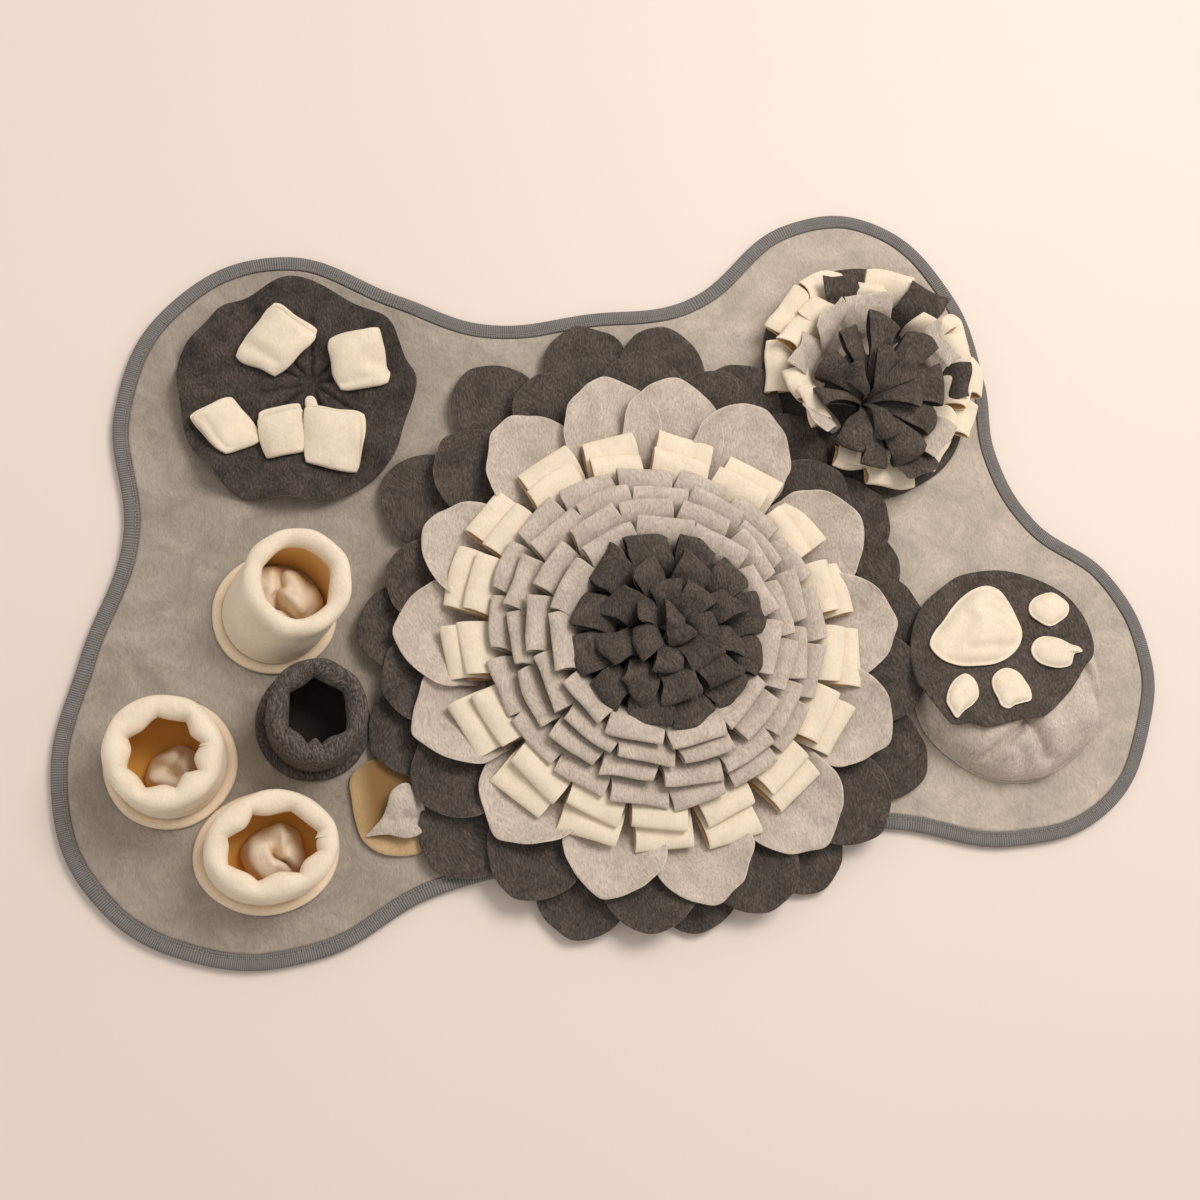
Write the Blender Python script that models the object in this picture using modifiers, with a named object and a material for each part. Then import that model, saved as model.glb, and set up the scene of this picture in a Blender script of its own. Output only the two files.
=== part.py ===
"""Bone-shaped fleece snuffle mat, lying flat.

The underside is on z = 0 with the origin at its middle. +X runs along the mat's length, and +Y points to the
two lobes that carry the smiling face and the pompom. Metres throughout.
"""

import math
import random

import bmesh
import bpy
from mathutils import Matrix, Vector

# Cloth
FLEECE = 0.0016  # one layer of fleece
GAP = 0.0003  # clearance between two pieces that touch
WELD = 0.00002
PAD_TOP = 0.0070  # nap of the mat
ON_MAT = PAD_TOP + GAP + FLEECE / 2  # middle of a layer that lies on the mat
ON_DISC = ON_MAT + FLEECE + GAP  # middle of a layer that lies on a disc on the mat

# Edge binding: a tape folded round the thinner edge of the pad
BINDING_WIDTH = 0.0122
BINDING_TOP = 0.0076
TAPE = 0.0015
TONGUE_INSET = 0.0030  # outer end of the pressed edge of the pad
OVER_BINDING = BINDING_TOP + GAP + FLEECE / 2

# Outer edge of the binding, anticlockwise from the paw's lobe
OUTLINE = (  # x, y
    (0.446, -0.134),
    (0.425, -0.062),
    (0.370, -0.008),
    (0.350, 0.050),
    (0.354, 0.115),
    (0.341, 0.198),
    (0.285, 0.267),
    (0.209, 0.273),
    (0.106, 0.212),
    (0.026, 0.208),
    (-0.062, 0.207),
    (-0.126, 0.237),
    (-0.216, 0.279),
    (-0.308, 0.246),
    (-0.357, 0.165),
    (-0.362, 0.060),
    (-0.401, -0.025),
    (-0.431, -0.117),
    (-0.412, -0.203),
    (-0.339, -0.262),
    (-0.255, -0.271),
    (-0.165, -0.239),
    (-0.060, -0.232),
    (0.090, -0.232),
    (0.195, -0.243),
    (0.290, -0.271),
    (0.380, -0.255),
    (0.432, -0.190),
)
OUTLINE_STEPS = 2  # points for each stretch between two rows

# Flower petals: each row is one tooth of its comb
PETAL_FOOT_WIDTH = 0.006
PETALS_DARK_LOW = (  # angle in degrees, reach from the flower's middle, rise of the tip
    (17, 0.226, 0.005),
    (40, 0.218, 0.006),
    (56, 0.232, 0.006),
    (76, 0.243, 0.004),
    (93, 0.245, 0.003),
    (116, 0.240, 0.004),
    (144, 0.228, 0.004),
    (176, 0.222, 0.008),
    (199, 0.235, 0.004),
    (222, 0.254, 0.003),
    (248, 0.254, -0.002),
    (271, 0.247, -0.003),
    (295, 0.252, -0.002),
    (322, 0.255, 0.002),
    (352, 0.230, 0.003),
)
PETALS_DARK_HIGH = (  # angle in degrees, reach, rise of the tip
    (6, 0.215, 0.013),
    (28, 0.205, 0.014),
    (62, 0.220, 0.013),
    (81, 0.223, 0.012),
    (104, 0.216, 0.012),
    (130, 0.212, 0.013),
    (162, 0.205, 0.014),
    (187, 0.211, 0.013),
    (210, 0.223, 0.012),
    (235, 0.235, 0.010),
    (261, 0.238, 0.010),
    (284, 0.240, 0.010),
    (310, 0.243, 0.010),
    (339, 0.227, 0.014),
)
PETALS_LIGHT = (  # angle in degrees, reach, rise of the tip
    (22, 0.198, 0.018),
    (54, 0.211, 0.016),
    (74, 0.212, 0.016),
    (91, 0.210, 0.018),
    (115, 0.204, 0.015),
    (147, 0.193, 0.017),
    (172, 0.198, 0.016),
    (195, 0.198, 0.015),
    (224, 0.196, 0.016),
    (250, 0.205, 0.016),
    (273, 0.209, 0.016),
    (301, 0.208, 0.016),
    (329, 0.203, 0.016),
    (355, 0.198, 0.016),
)
PETAL_RINGS = (  # name, cloth, centre x, centre y, foot radius, foot height, half width, teeth
    ("petals_dark_low", "charcoal", 0.024, -0.050, 0.174, OVER_BINDING, 0.034, PETALS_DARK_LOW),
    ("petals_dark_high", "charcoal", 0.024, -0.0565, 0.154, OVER_BINDING, 0.030, PETALS_DARK_HIGH),
    ("petals_light", "light_grey", 0.025, -0.068, 0.131, ON_MAT, 0.038, PETALS_LIGHT),
)

# Flower loops: rows of folded strip, from the outermost to the tuft
LOOP_GAP = 0.0050  # between the middles of the two legs at the fold
LOOP_FOOT = 0.003
LOOP_RINGS = (  # name, cloth, loops, centre x, centre y, foot radius, reach, height, half width, first angle
    ("loops_cream_low", "cream", 17, 0.026, -0.071, 0.119, 0.162, 0.028, 0.0215, 8),
    ("loops_cream_high", "cream", 17, 0.026, -0.071, 0.110, 0.147, 0.035, 0.0215, 8),
    ("loops_grey_1", "light_grey", 17, 0.026, -0.071, 0.097, 0.131, 0.042, 0.0195, 0),
    ("loops_grey_2", "light_grey", 15, 0.026, -0.071, 0.083, 0.115, 0.050, 0.0195, 10),
    ("loops_grey_3", "light_grey", 13, 0.027, -0.071, 0.068, 0.099, 0.058, 0.0185, 4),
    ("loops_grey_4", "light_grey", 11, 0.027, -0.072, 0.052, 0.084, 0.065, 0.0185, 16),
    ("tuft_outer", "charcoal", 10, 0.029, -0.074, 0.034, 0.066, 0.073, 0.0160, 0),
    ("tuft_inner", "charcoal", 6, 0.030, -0.074, 0.014, 0.036, 0.077, 0.0140, 25),
)

# Face: a gathered disc with five folded tabs
FACE_CENTRE = Vector((-0.219, 0.160))
FACE_RADIUS = 0.092
FACE_WAVES = 8
FACE_WAVE_HEIGHT = 0.012
FACE_TABS = (  # name, x, y, width, length, heading in degrees, rise of the far end
    ("eye_left", -0.229, 0.202, 0.046, 0.052, -40, 0.012),
    ("eye_right", -0.168, 0.181, 0.044, 0.044, 3, 0.008),
    ("mouth_left", -0.2755, 0.137, 0.036, 0.040, 28, 0.008),
    ("mouth_middle", -0.2335, 0.130, 0.034, 0.034, 4, 0.006),
    ("mouth_right", -0.194, 0.119, 0.038, 0.044, -16, 0.010),
)

# Pompom: a disc with eccentric rows of loops and tabs
POM_DISC = (0.246, 0.125, 0.089, 0.101)  # centre x, centre y, radii along X and Y
POM_CREAM = (  # angle in degrees, reach
    (-113, 0.079),
    (-92, 0.092),
    (-55, 0.086),
    (-28, 0.083),
    (2, 0.092),
    (33, 0.086),
    (54, 0.088),
    (77, 0.090),
    (109, 0.094),
    (136, 0.092),
    (173, 0.084),
)
POM_DARK = ((-77, 0.090), (-10, 0.074), (52, 0.086), (102, 0.090))  # angle in degrees, reach
POM_LIGHT = ((-55, 0.075), (25, 0.069), (92, 0.071), (144, 0.066), (205, 0.064))  # angle in degrees, reach
POM_CENTRE_OUTER = (  # angle in degrees, reach
    (-140, 0.050),
    (-102, 0.055),
    (-62, 0.056),
    (-19, 0.057),
    (10, 0.062),
    (46, 0.078),
    (73, 0.072),
    (101, 0.058),
    (140, 0.050),
)
POM_CENTRE_INNER = ((-90, 0.026), (-20, 0.030), (45, 0.034), (110, 0.028), (190, 0.026))  # angle, reach
POM_LOOPS = (  # name, cloth, centre x, centre y, foot radius, height, half width, closed ring, teeth
    ("pom_cream", "cream", 0.248, 0.122, 0.065, 0.028, 0.019, False, POM_CREAM),
    ("pom_centre_outer", "charcoal", 0.236, 0.107, 0.020, 0.052, 0.013, True, POM_CENTRE_OUTER),
    ("pom_centre_inner", "charcoal", 0.236, 0.107, 0.0075, 0.058, 0.009, True, POM_CENTRE_INNER),
)
POM_TABS = (  # name, cloth, centre x, centre y, foot radius, height, half width, tip's share, closed, teeth
    ("pom_dark", "charcoal", 0.245, 0.118, 0.046, 0.038, 0.016, 0.96, False, POM_DARK),
    ("pom_light", "light_grey", 0.242, 0.114, 0.034, 0.047, 0.017, 0.62, True, POM_LIGHT),
)

# Paw pouch: a slouching pouch, its tilted disc and five pads
PAW_DISC = (0.307, -0.113, 0.077, 0.064)  # centre x, centre y, radii along X and Y
PAW_HEIGHT = 0.028  # of the disc's middle
PAW_SLOPE = 0.26  # rise of the disc towards -Y
POUCH = (0.313, -0.141, 0.079, 0.081)  # centre x, centre y, radii along X and Y
POUCH_CROWN = 0.040  # highest that the pouch bulges
PAW_PADS = (  # name, x, y, half width, half length, heading in degrees, height
    ("paw_palm", 0.288, -0.094, 0.040, 0.030, 22, 0.007),
    ("paw_toe_1", 0.356, -0.088, 0.017, 0.0135, 0, 0.004),
    ("paw_toe_2", 0.351, -0.125, 0.021, 0.0135, -20, 0.004),
    ("paw_toe_3", 0.305, -0.149, 0.015, 0.016, 0, 0.004),
    ("paw_toe_4", 0.264, -0.148, 0.013, 0.017, -25, 0.004),
)

# Cups: a tube with a rolled rim, sewn to a round base
CUP_BASE = 0.0024
CUP_WALL = 0.0024
CUP_FLANGE = 0.0045
CUP_ROLL = 0.0058  # radius of the rolled rim
CUP_SCALLOPS = 7
CUPS = (  # name, cloth, base x, base y, rim x, rim y, tube's two radii, rim's two radii, height
    ("cup_a", "cream", -0.257, -0.012, -0.237, -0.001, 0.0385, 0.0385, 0.0330, 0.0345, 0.058),
    ("cup_b", "cream", -0.345, -0.114, -0.347, -0.113, 0.0405, 0.0405, 0.0350, 0.0350, 0.058),
    ("cup_c", "cream", -0.284, -0.189, -0.279, -0.188, 0.0450, 0.0375, 0.0410, 0.0330, 0.050),
    ("cup_d", "charcoal", -0.239, -0.099, -0.236, -0.0975, 0.0345, 0.0360, 0.0305, 0.0330, 0.052),
)
CUP_FOLDS = (  # name, x, y, width, length, heading in degrees, height
    ("cup_a_fold", -0.252, -0.010, 0.034, 0.036, 20, 0.024),
    ("cup_b_fold", -0.345, -0.116, 0.036, 0.034, -15, 0.022),
    ("cup_c_fold", -0.281, -0.189, 0.038, 0.036, 70, 0.022),
)

# Side pocket, in the notch between three dark petals
POCKET_BACK = (-0.188, -0.169, 0.054, 0.066)  # x, y, width, length
POCKET_FOLD = (-0.195, -0.176, 0.034, 0.034, 100, 0.007)  # x, y, width, length, heading in degrees, height

CLOTHS = {  # linear red, green, blue, roughness
    "taupe": (0.36, 0.31, 0.25, 0.95),
    "tape": (0.16, 0.15, 0.14, 0.85),
    "charcoal": (0.075, 0.065, 0.060, 0.95),
    "light_grey": (0.44, 0.39, 0.33, 0.95),
    "cream": (0.84, 0.70, 0.50, 0.95),
    "tan": (0.46, 0.32, 0.17, 0.95),
}


def clear_scene():
    for obj in list(bpy.data.objects):
        bpy.data.objects.remove(obj, do_unlink=True)


def new_collection(name):
    collection = bpy.data.collections.new(name)
    bpy.context.scene.collection.children.link(collection)
    return collection


def new_material(name, cloth):
    red, green, blue, roughness = CLOTHS[cloth]
    material = bpy.data.materials.new(name)
    material.use_nodes = True
    shader = material.node_tree.nodes["Principled BSDF"]
    shader.inputs["Base Color"].default_value = (red, green, blue, 1.0)
    shader.inputs["Roughness"].default_value = roughness
    shader.inputs["Metallic"].default_value = 0.0
    return material


def add_piece(name, bm, cloth, collection, thickness=0.0):
    """An object made of the mesh, which gets the thickness of a sheet when one is given."""
    bmesh.ops.recalc_face_normals(bm, faces=bm.faces)
    mesh = bpy.data.meshes.new(name)
    bm.to_mesh(mesh)
    bm.free()
    mesh.shade_smooth()
    mesh.set_sharp_from_angle(angle=math.radians(40))
    mesh.materials.append(new_material(name, cloth))
    piece = bpy.data.objects.new(name, mesh)
    collection.objects.link(piece)
    if thickness:
        sheet = piece.modifiers.new("thickness", "SOLIDIFY")
        sheet.thickness = thickness
        sheet.offset = 0.0
    return piece


def flat_grid(columns, rows):
    """A grid of cells whose vertices hold their column and row numbers as x and y."""
    bm = bmesh.new()
    bmesh.ops.create_grid(bm, x_segments=columns, y_segments=rows, size=1.0)
    for vert in bm.verts:
        vert.co.x = round((vert.co.x + 1) / 2 * columns)
        vert.co.y = round((vert.co.y + 1) / 2 * rows)
    return bm


def shaped_grid(columns, rows, place):
    """A grid with each vertex at place(column, row), welded where two of them meet."""
    bm = flat_grid(columns, rows)
    for vert in bm.verts:
        vert.co = place(round(vert.co.x), round(vert.co.y))
    bmesh.ops.remove_doubles(bm, verts=bm.verts, dist=WELD)
    return bm


def polar(centre, radius, angle):
    return Vector((centre[0] + radius * math.cos(angle), centre[1] + radius * math.sin(angle)))


# --- Mat and binding -------------------------------------------------------------------------------------


def outline_points(guides):
    """Points along the smooth closed curve through the outline's rows."""
    curve = bpy.data.curves.new("outline", "CURVE")
    curve.dimensions = "2D"
    curve.fill_mode = "NONE"
    curve.resolution_u = OUTLINE_STEPS
    spline = curve.splines.new("BEZIER")
    spline.bezier_points.add(len(OUTLINE) - 1)
    spline.use_cyclic_u = True
    for point, (x, y) in zip(spline.bezier_points, OUTLINE):
        point.co = (x, y, 0)
        point.handle_left_type = point.handle_right_type = "AUTO"
    guide = bpy.data.objects.new("outline", curve)
    guides.objects.link(guide)
    guide.hide_render = True
    guide.display_type = "WIRE"
    bpy.context.view_layer.update()
    points = [vert.co.xy for vert in guide.to_mesh().vertices]
    guide.to_mesh_clear()
    return points


def inset(points, distance):
    """The closed outline moved inwards."""
    moved = []
    for before, here, after in zip(points[-1:] + points[:-1], points, points[1:] + points[:1]):
        along = (after - before).normalized()
        moved.append(here + Vector((-along.y, along.x)) * distance)
    return moved


def add_mat(points, collection):
    tongue_low = TAPE + GAP
    tongue_high = BINDING_TOP - TAPE - GAP
    shoulder = BINDING_WIDTH + GAP
    sections = (  # inset, height
        (shoulder, 0.0),
        (shoulder, tongue_low),
        (TONGUE_INSET, tongue_low),
        (TONGUE_INSET, tongue_high),
        (shoulder, tongue_high),
        (shoulder + 0.0008, PAD_TOP),
    )
    rings = [inset(points, distance) for distance, _ in sections]

    def place(column, row):
        return rings[row][column % len(points)].to_3d() + Vector((0, 0, sections[row][1]))

    bm = shaped_grid(len(points), len(sections) - 1, place)
    bmesh.ops.holes_fill(bm, edges=[edge for edge in bm.edges if edge.is_boundary], sides=0)
    add_piece("mat_pad", bm, "taupe", collection)


def add_binding(points, collection):
    inner = TONGUE_INSET - GAP
    section = (  # inset, height, round the U of the tape
        (BINDING_WIDTH, 0.0),
        (0.0006, 0.0),
        (0.0006, BINDING_TOP),
        (BINDING_WIDTH, BINDING_TOP),
        (BINDING_WIDTH, BINDING_TOP - TAPE),
        (inner, BINDING_TOP - TAPE),
        (inner, TAPE),
        (BINDING_WIDTH, TAPE),
    )
    rings = [inset(points, distance) for distance, _ in section]

    def place(column, row):
        row %= len(section)
        return rings[row][column % len(points)].to_3d() + Vector((0, 0, section[row][1]))

    add_piece("edge_binding", shaped_grid(len(points), len(section), place), "tape", collection)


# --- Combs: strips with cut teeth, sewn in a ring --------------------------------------------------------


def add_comb(name, cloth, collection, centre, teeth, half_width, sections_of, across, free_rows, closed=True):
    """A strip cut into teeth and bent into a ring.

    teeth holds (angle in degrees, ...) rows in rising order. For each row of vertices, sections_of(tooth) is
    (radius, height, share of the half width, rise of the sides); its share is None where the strip isn't cut.
    The cuts run through free_rows, a pair of row numbers.
    """
    angles = [math.radians(tooth[0]) for tooth in teeth]
    turn = 2 * math.pi
    if closed:
        before = [angles[-1] - turn] + angles[:-1]
        after = angles[1:] + [angles[0] + turn]
    else:
        before = [2 * angles[0] - angles[1]] + angles[:-1]
        after = angles[1:] + [2 * angles[-1] - angles[-2]]
    sections = [sections_of(tooth) for tooth in teeth]
    columns = len(teeth) * across
    bm = flat_grid(columns, len(sections[0]) - 1)
    cuts = []
    for edge in bm.edges:
        first, second = (vert.co for vert in edge.verts)
        inside = min(first.y, second.y) >= free_rows[0] and max(first.y, second.y) <= free_rows[1]
        if first.x == second.x and first.x % across == 0 and 0 < first.x < columns and inside:
            cuts.append(edge)
    bmesh.ops.split_edges(bm, edges=cuts)
    places = {}
    for vert in bm.verts:
        number = int(vert.link_faces[0].calc_center_median().x // across)
        side = 2 * (vert.co.x - number * across) / across - 1
        radius, height, share, rise = sections[number][round(vert.co.y)]
        angle, left, right = angles[number], before[number], after[number]
        if share is None:
            low, high = (left + angle) / 2, (angle + right) / 2
            spot = polar(centre, radius, low + (high - low) * (side + 1) / 2)
            places[vert] = spot.to_3d() + Vector((0, 0, height))
            continue
        room = math.sin(min(angle - left, right - angle) / 2) * radius - FLEECE / 2
        sideways = side * min(half_width, room) * share
        spot = polar(centre, radius, angle) + Vector((-math.sin(angle), math.cos(angle))) * sideways
        places[vert] = spot.to_3d() + Vector((0, 0, height + rise * side * side))
    for vert, spot in places.items():
        vert.co = spot
    bmesh.ops.remove_doubles(bm, verts=bm.verts, dist=WELD)
    return add_piece(name, bm, cloth, collection, FLEECE)


def petal_sections(foot, foot_height, tooth):
    """Radial section of a petal: sewn foot, rising belly, tip."""
    _, reach, rise = tooth
    length = reach - foot
    start = foot + PETAL_FOOT_WIDTH
    return (
        (foot, foot_height, None, 0),
        (start, foot_height, None, 0),
        (foot + 0.28 * length, foot_height + 0.51 * max(rise, 0.0), 0.92, 0.0005),
        (foot + 0.78 * length, foot_height + 0.85 * rise, 1.0, 0.0015),
        (reach, foot_height + rise, 0.45, 0.0010),
    )


def loop_sections(foot, reach, height, seat=ON_MAT):
    """Side view of a folded strip, from the foot of its lower leg round the fold to its upper leg's foot."""
    lean = math.atan2(height - seat, reach - foot)
    half_gap = Vector((-math.sin(lean), math.cos(lean))) * LOOP_GAP / 2
    fold = Vector((reach, height))
    lower, upper = fold - half_gap, fold + half_gap
    return (
        (foot, seat, None, 0),
        (foot + LOOP_FOOT, seat, None, 0),
        (lower.x, lower.y, 1.0, 0),
        (upper.x, upper.y, 1.0, 0),
        (foot - LOOP_FOOT, seat, 0.9, 0),
    )


def tab_sections(foot, reach, height, tip_share):
    """Radial section of a single tab that leans outwards."""
    start = foot + 0.006
    return (
        (foot, ON_DISC, None, 0),
        (start, ON_DISC, None, 0),
        ((start + reach) / 2, ON_DISC + (height - ON_DISC) * 0.62, 1.0, 0),
        (reach, height, tip_share, 0),
    )


def add_flower(collection):
    for name, cloth, x, y, foot, foot_height, half_width, teeth in PETAL_RINGS:
        add_comb(
            name, cloth, collection, (x, y), teeth, half_width,
            lambda tooth: petal_sections(foot, foot_height, tooth), across=2, free_rows=(1, 4),
        )
    uneven = random.Random(3)
    for name, cloth, count, x, y, foot, reach, height, half_width, first in LOOP_RINGS:
        teeth = [
            (
                first + 360 / count * (number + uneven.uniform(-0.06, 0.06)),
                reach + uneven.uniform(-0.0015, 0.0015),
                height + uneven.uniform(-0.001, 0.001),
            )
            for number in range(count)
        ]
        add_comb(
            name, cloth, collection, (x, y), teeth, half_width,
            lambda tooth: loop_sections(foot, tooth[1], tooth[2]), across=1, free_rows=(1, 4),
        )


def add_pompom(collection):
    x, y, *radii = POM_DISC
    add_disc("pom_disc", "charcoal", collection, (x, y), radii, 24, lambda spot: ON_MAT, rings=(0.0, 1.0))
    for name, cloth, x, y, foot, height, half_width, closed, teeth in POM_LOOPS:
        add_comb(
            name, cloth, collection, (x, y), teeth, half_width,
            lambda tooth: loop_sections(foot, tooth[1], height, ON_DISC), across=1, free_rows=(1, 4),
            closed=closed,
        )
    for name, cloth, x, y, foot, height, half_width, tip_share, closed, teeth in POM_TABS:
        add_comb(
            name, cloth, collection, (x, y), teeth, half_width,
            lambda tooth: tab_sections(foot, tooth[1], height, tip_share), across=4, free_rows=(1, 3),
            closed=closed,
        )


# --- Discs and folded pieces -----------------------------------------------------------------------------


def add_disc(name, cloth, collection, centre, radii, columns, height_at, rings=(0.0, 0.55, 1.0)):
    """A round sheet; height_at(x, y vector) gives the height of its middle layer."""

    def place(column, row):
        angle = 2 * math.pi * column / columns
        spot = Vector(centre) + Vector((radii[0] * math.cos(angle), radii[1] * math.sin(angle))) * rings[row]
        return spot.to_3d() + Vector((0, 0, height_at(spot)))

    add_piece(name, shaped_grid(columns, len(rings) - 1, place), cloth, collection, FLEECE)


def face_height(spot):
    """Middle layer of the face's disc: flat where it is gathered, waving more towards its edge."""
    offset = spot - FACE_CENTRE
    share = min(offset.length / FACE_RADIUS, 1.0)
    wave = 0.5 + 0.5 * math.cos(FACE_WAVES * math.atan2(offset.y, offset.x) + 1.0)
    return ON_MAT + FACE_WAVE_HEIGHT * share**4 * wave


def add_folded(name, cloth, collection, spot, width, length, heading, height_of, layer_gap=0.0030):
    """A cloth folded double: a back layer, the fold at its near end, and a front layer a little above it.

    height_of(share) gives the height of the back layer from the fold (0) to the open end (1).
    """
    turn = Matrix.Rotation(math.radians(heading), 2)
    stations = (  # share of the length, share of the layer gap
        (1.0, 0.0),
        (0.5, 0.0),
        (0.02, 0.0),
        (0.02, 1.0),
        (0.5, 1.35),
        (0.94, 1.0),
    )

    def place(column, row):
        along, above = stations[row]
        flat = turn @ Vector(((column / 2 - 0.5) * width, (along - 0.5) * length))
        return (Vector(spot) + flat).to_3d() + Vector((0, 0, height_of(along) + above * layer_gap))

    add_piece(name, shaped_grid(2, len(stations) - 1, place), cloth, collection, FLEECE)


def add_face(collection):
    add_disc(
        "face_disc", "charcoal", collection, FACE_CENTRE, (FACE_RADIUS, FACE_RADIUS), 4 * FACE_WAVES,
        face_height, rings=(0.0, 0.6, 0.82, 1.0),
    )
    for name, x, y, width, length, heading, rise in FACE_TABS:
        turn = Matrix.Rotation(math.radians(heading), 2)
        seat = ON_MAT
        for side in (-0.5, -0.25, 0, 0.25, 0.5):
            for share in (0, 0.25, 0.5, 0.75, 1):
                spot = Vector((x, y)) + turn @ Vector((side * width, (share - 0.5) * length))
                seat = max(seat, face_height(spot) - rise * share)
        seat += FLEECE + GAP
        add_folded(
            name, "cream", collection, (x, y), width, length, heading, lambda share: seat + rise * share,
        )


# --- Paw -------------------------------------------------------------------------------------------------


def paw_plane(spot):
    """Middle layer of the paw's disc, which slopes up towards -Y."""
    return PAW_HEIGHT - PAW_SLOPE * (spot.y - PAW_DISC[1])


def pouch_height(spot, share):
    """The pouch rises steeply from its foot and stays under the disc."""
    crown = min(max(paw_plane(spot) - FLEECE - GAP, ON_MAT), POUCH_CROWN)
    return ON_MAT + (crown - ON_MAT) * (1 - share**3)


def add_paw(collection):
    x, y, radius_x, radius_y = POUCH
    columns = 20
    shares = (0.25, 0.75, 1.0)

    def place(column, row):
        angle = 2 * math.pi * column / columns
        bulge = 1 + 0.02 * math.cos(5 * angle)
        flat = Vector((radius_x * math.cos(angle), radius_y * math.sin(angle))) * shares[row] * bulge
        spot = Vector((x, y)) + flat
        return spot.to_3d() + Vector((0, 0, pouch_height(spot, shares[row])))

    add_piece("paw_pouch", shaped_grid(columns, len(shares) - 1, place), "light_grey", collection, FLEECE)
    x, y, *radii = PAW_DISC
    add_disc("paw_disc", "charcoal", collection, (x, y), radii, 24, paw_plane, rings=(0.0, 1.0))
    for name, x, y, half_width, half_length, heading, height in PAW_PADS:
        add_pad(name, Vector((x, y)), half_width, half_length, heading, height, collection)


def add_pad(name, spot, half_width, half_length, heading, height, collection):
    """A low puffed pad, flat below, lying on the paw's disc."""
    bm = bmesh.new()
    bmesh.ops.create_uvsphere(bm, u_segments=10, v_segments=4, radius=1.0)
    bmesh.ops.scale(bm, vec=(half_width, half_length, height), verts=bm.verts)
    turn = Matrix.Rotation(math.radians(heading), 3, "Z")
    bmesh.ops.rotate(bm, cent=(0, 0, 0), matrix=turn, verts=bm.verts)
    below = [vert for vert in bm.verts if vert.co.z < -0.3 * height]
    bmesh.ops.dissolve_verts(bm, verts=below)
    for vert in bm.verts:
        flat = spot + vert.co.xy
        seat = paw_plane(flat) + FLEECE / 2 + GAP
        vert.co = flat.to_3d() + Vector((0, 0, seat + max(vert.co.z, 0)))
    add_piece(name, bm, "cream", collection)


# --- Cups ------------------------------------------------------------------------------------------------


def add_cup(name, cloth, base, rim, tube, rolled, height, collection):
    """A round base, and a tube that leans from the base's middle to the rim's and ends in a thick roll."""
    bm = bmesh.new()
    bmesh.ops.create_cone(
        bm, cap_ends=True, segments=16, radius1=1.0, radius2=1.0, depth=CUP_BASE,
        matrix=Matrix.Translation((0, 0, PAD_TOP + GAP + CUP_BASE / 2)),
    )
    for vert in bm.verts:
        vert.co.x = base.x + vert.co.x * (tube.x + CUP_FLANGE)
        vert.co.y = base.y + vert.co.y * (tube.y + CUP_FLANGE)
    add_piece(name + "_base", bm, cloth, collection)

    foot = PAD_TOP + CUP_BASE + 2 * GAP
    top = foot + height
    wall, roll = CUP_WALL, CUP_ROLL
    section = (  # share of the way from the tube's radius to the rim's, outwards from that radius, height
        (0.0, 0.0, foot),
        (1.0, 1.00 * roll, top - 1.2 * roll),
        (1.0, 0.55 * roll, top - 0.2 * roll),
        (1.0, -0.55 * roll, top),
        (1.0, -1.10 * roll, top - 1.0 * roll),
        (1.0, -0.35 * roll, top - 2.0 * roll),
        (0.0, -wall, foot),
    )
    inner_side = range(3, 6)
    columns = 2 * CUP_SCALLOPS

    def place(column, row):
        row %= len(section)
        share, outwards, level = section[row]
        angle = 2 * math.pi * column / columns
        if row in inner_side:
            outwards -= 0.0022 * (column % 2)
        radii = tube.lerp(rolled, share) + Vector((outwards, outwards))
        centre = base.lerp(rim, (level - foot) / height)
        spot = centre + Vector((radii.x * math.cos(angle), radii.y * math.sin(angle)))
        return spot.to_3d() + Vector((0, 0, level))

    add_piece(name + "_wall", shaped_grid(columns, len(section), place), cloth, collection)


def add_cups(collection):
    for name, cloth, base_x, base_y, rim_x, rim_y, tube_x, tube_y, rolled_x, rolled_y, height in CUPS:
        add_cup(
            name, cloth, Vector((base_x, base_y)), Vector((rim_x, rim_y)), Vector((tube_x, tube_y)),
            Vector((rolled_x, rolled_y)), height, collection,
        )
    floor = PAD_TOP + CUP_BASE + 2 * GAP + FLEECE / 2
    for name, x, y, width, length, heading, height in CUP_FOLDS:
        arch = height - FLEECE
        add_folded(
            name, "cream", collection, (x, y), width, length, heading,
            lambda share: floor + arch * 0.75 * math.sin(math.pi * share), layer_gap=arch * 0.25,
        )


# --- Side pocket -----------------------------------------------------------------------------------------


def add_pocket(collection):
    x, y, width, length = POCKET_BACK

    def place(column, row):
        along = row / 4
        narrowing = (1.0, 1.0, 0.92, 0.75, 0.35)[row]
        return Vector((x + (column / 2 - 0.5) * width * narrowing, y + (0.5 - along) * length, ON_MAT))

    add_piece("pocket_back", shaped_grid(2, 4, place), "tan", collection, FLEECE)
    x, y, width, length, heading, height = POCKET_FOLD
    seat = ON_MAT + FLEECE + GAP
    add_folded(
        "pocket_fold", "light_grey", collection, (x, y), width, length, heading,
        lambda share: seat + 0.2 * height * math.sin(math.pi * share), layer_gap=0.4 * height,
    )


def main():
    clear_scene()
    pieces = new_collection("snuffle_mat")
    guides = new_collection("guides")
    points = outline_points(guides)
    add_mat(points, pieces)
    add_binding(points, pieces)
    add_flower(pieces)
    add_face(pieces)
    add_pompom(pieces)
    add_paw(pieces)
    add_cups(pieces)
    add_pocket(pieces)


main()
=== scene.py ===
# %% [markdown]
# # A snuffle mat: the looks
#
# The object is a padded fleece mat in the outline of a bone. A large flower of cut petals and folded
# strips is sewn on its middle. The lobes carry a round face, a ragged pompom, a paw pouch and four cups.
# Everything on it is cloth, so this script shapes every piece as a sheet: a flat grid is added, its
# vertices are moved to where the cloth lies, and modifiers give it thickness and soft edges.

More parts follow.
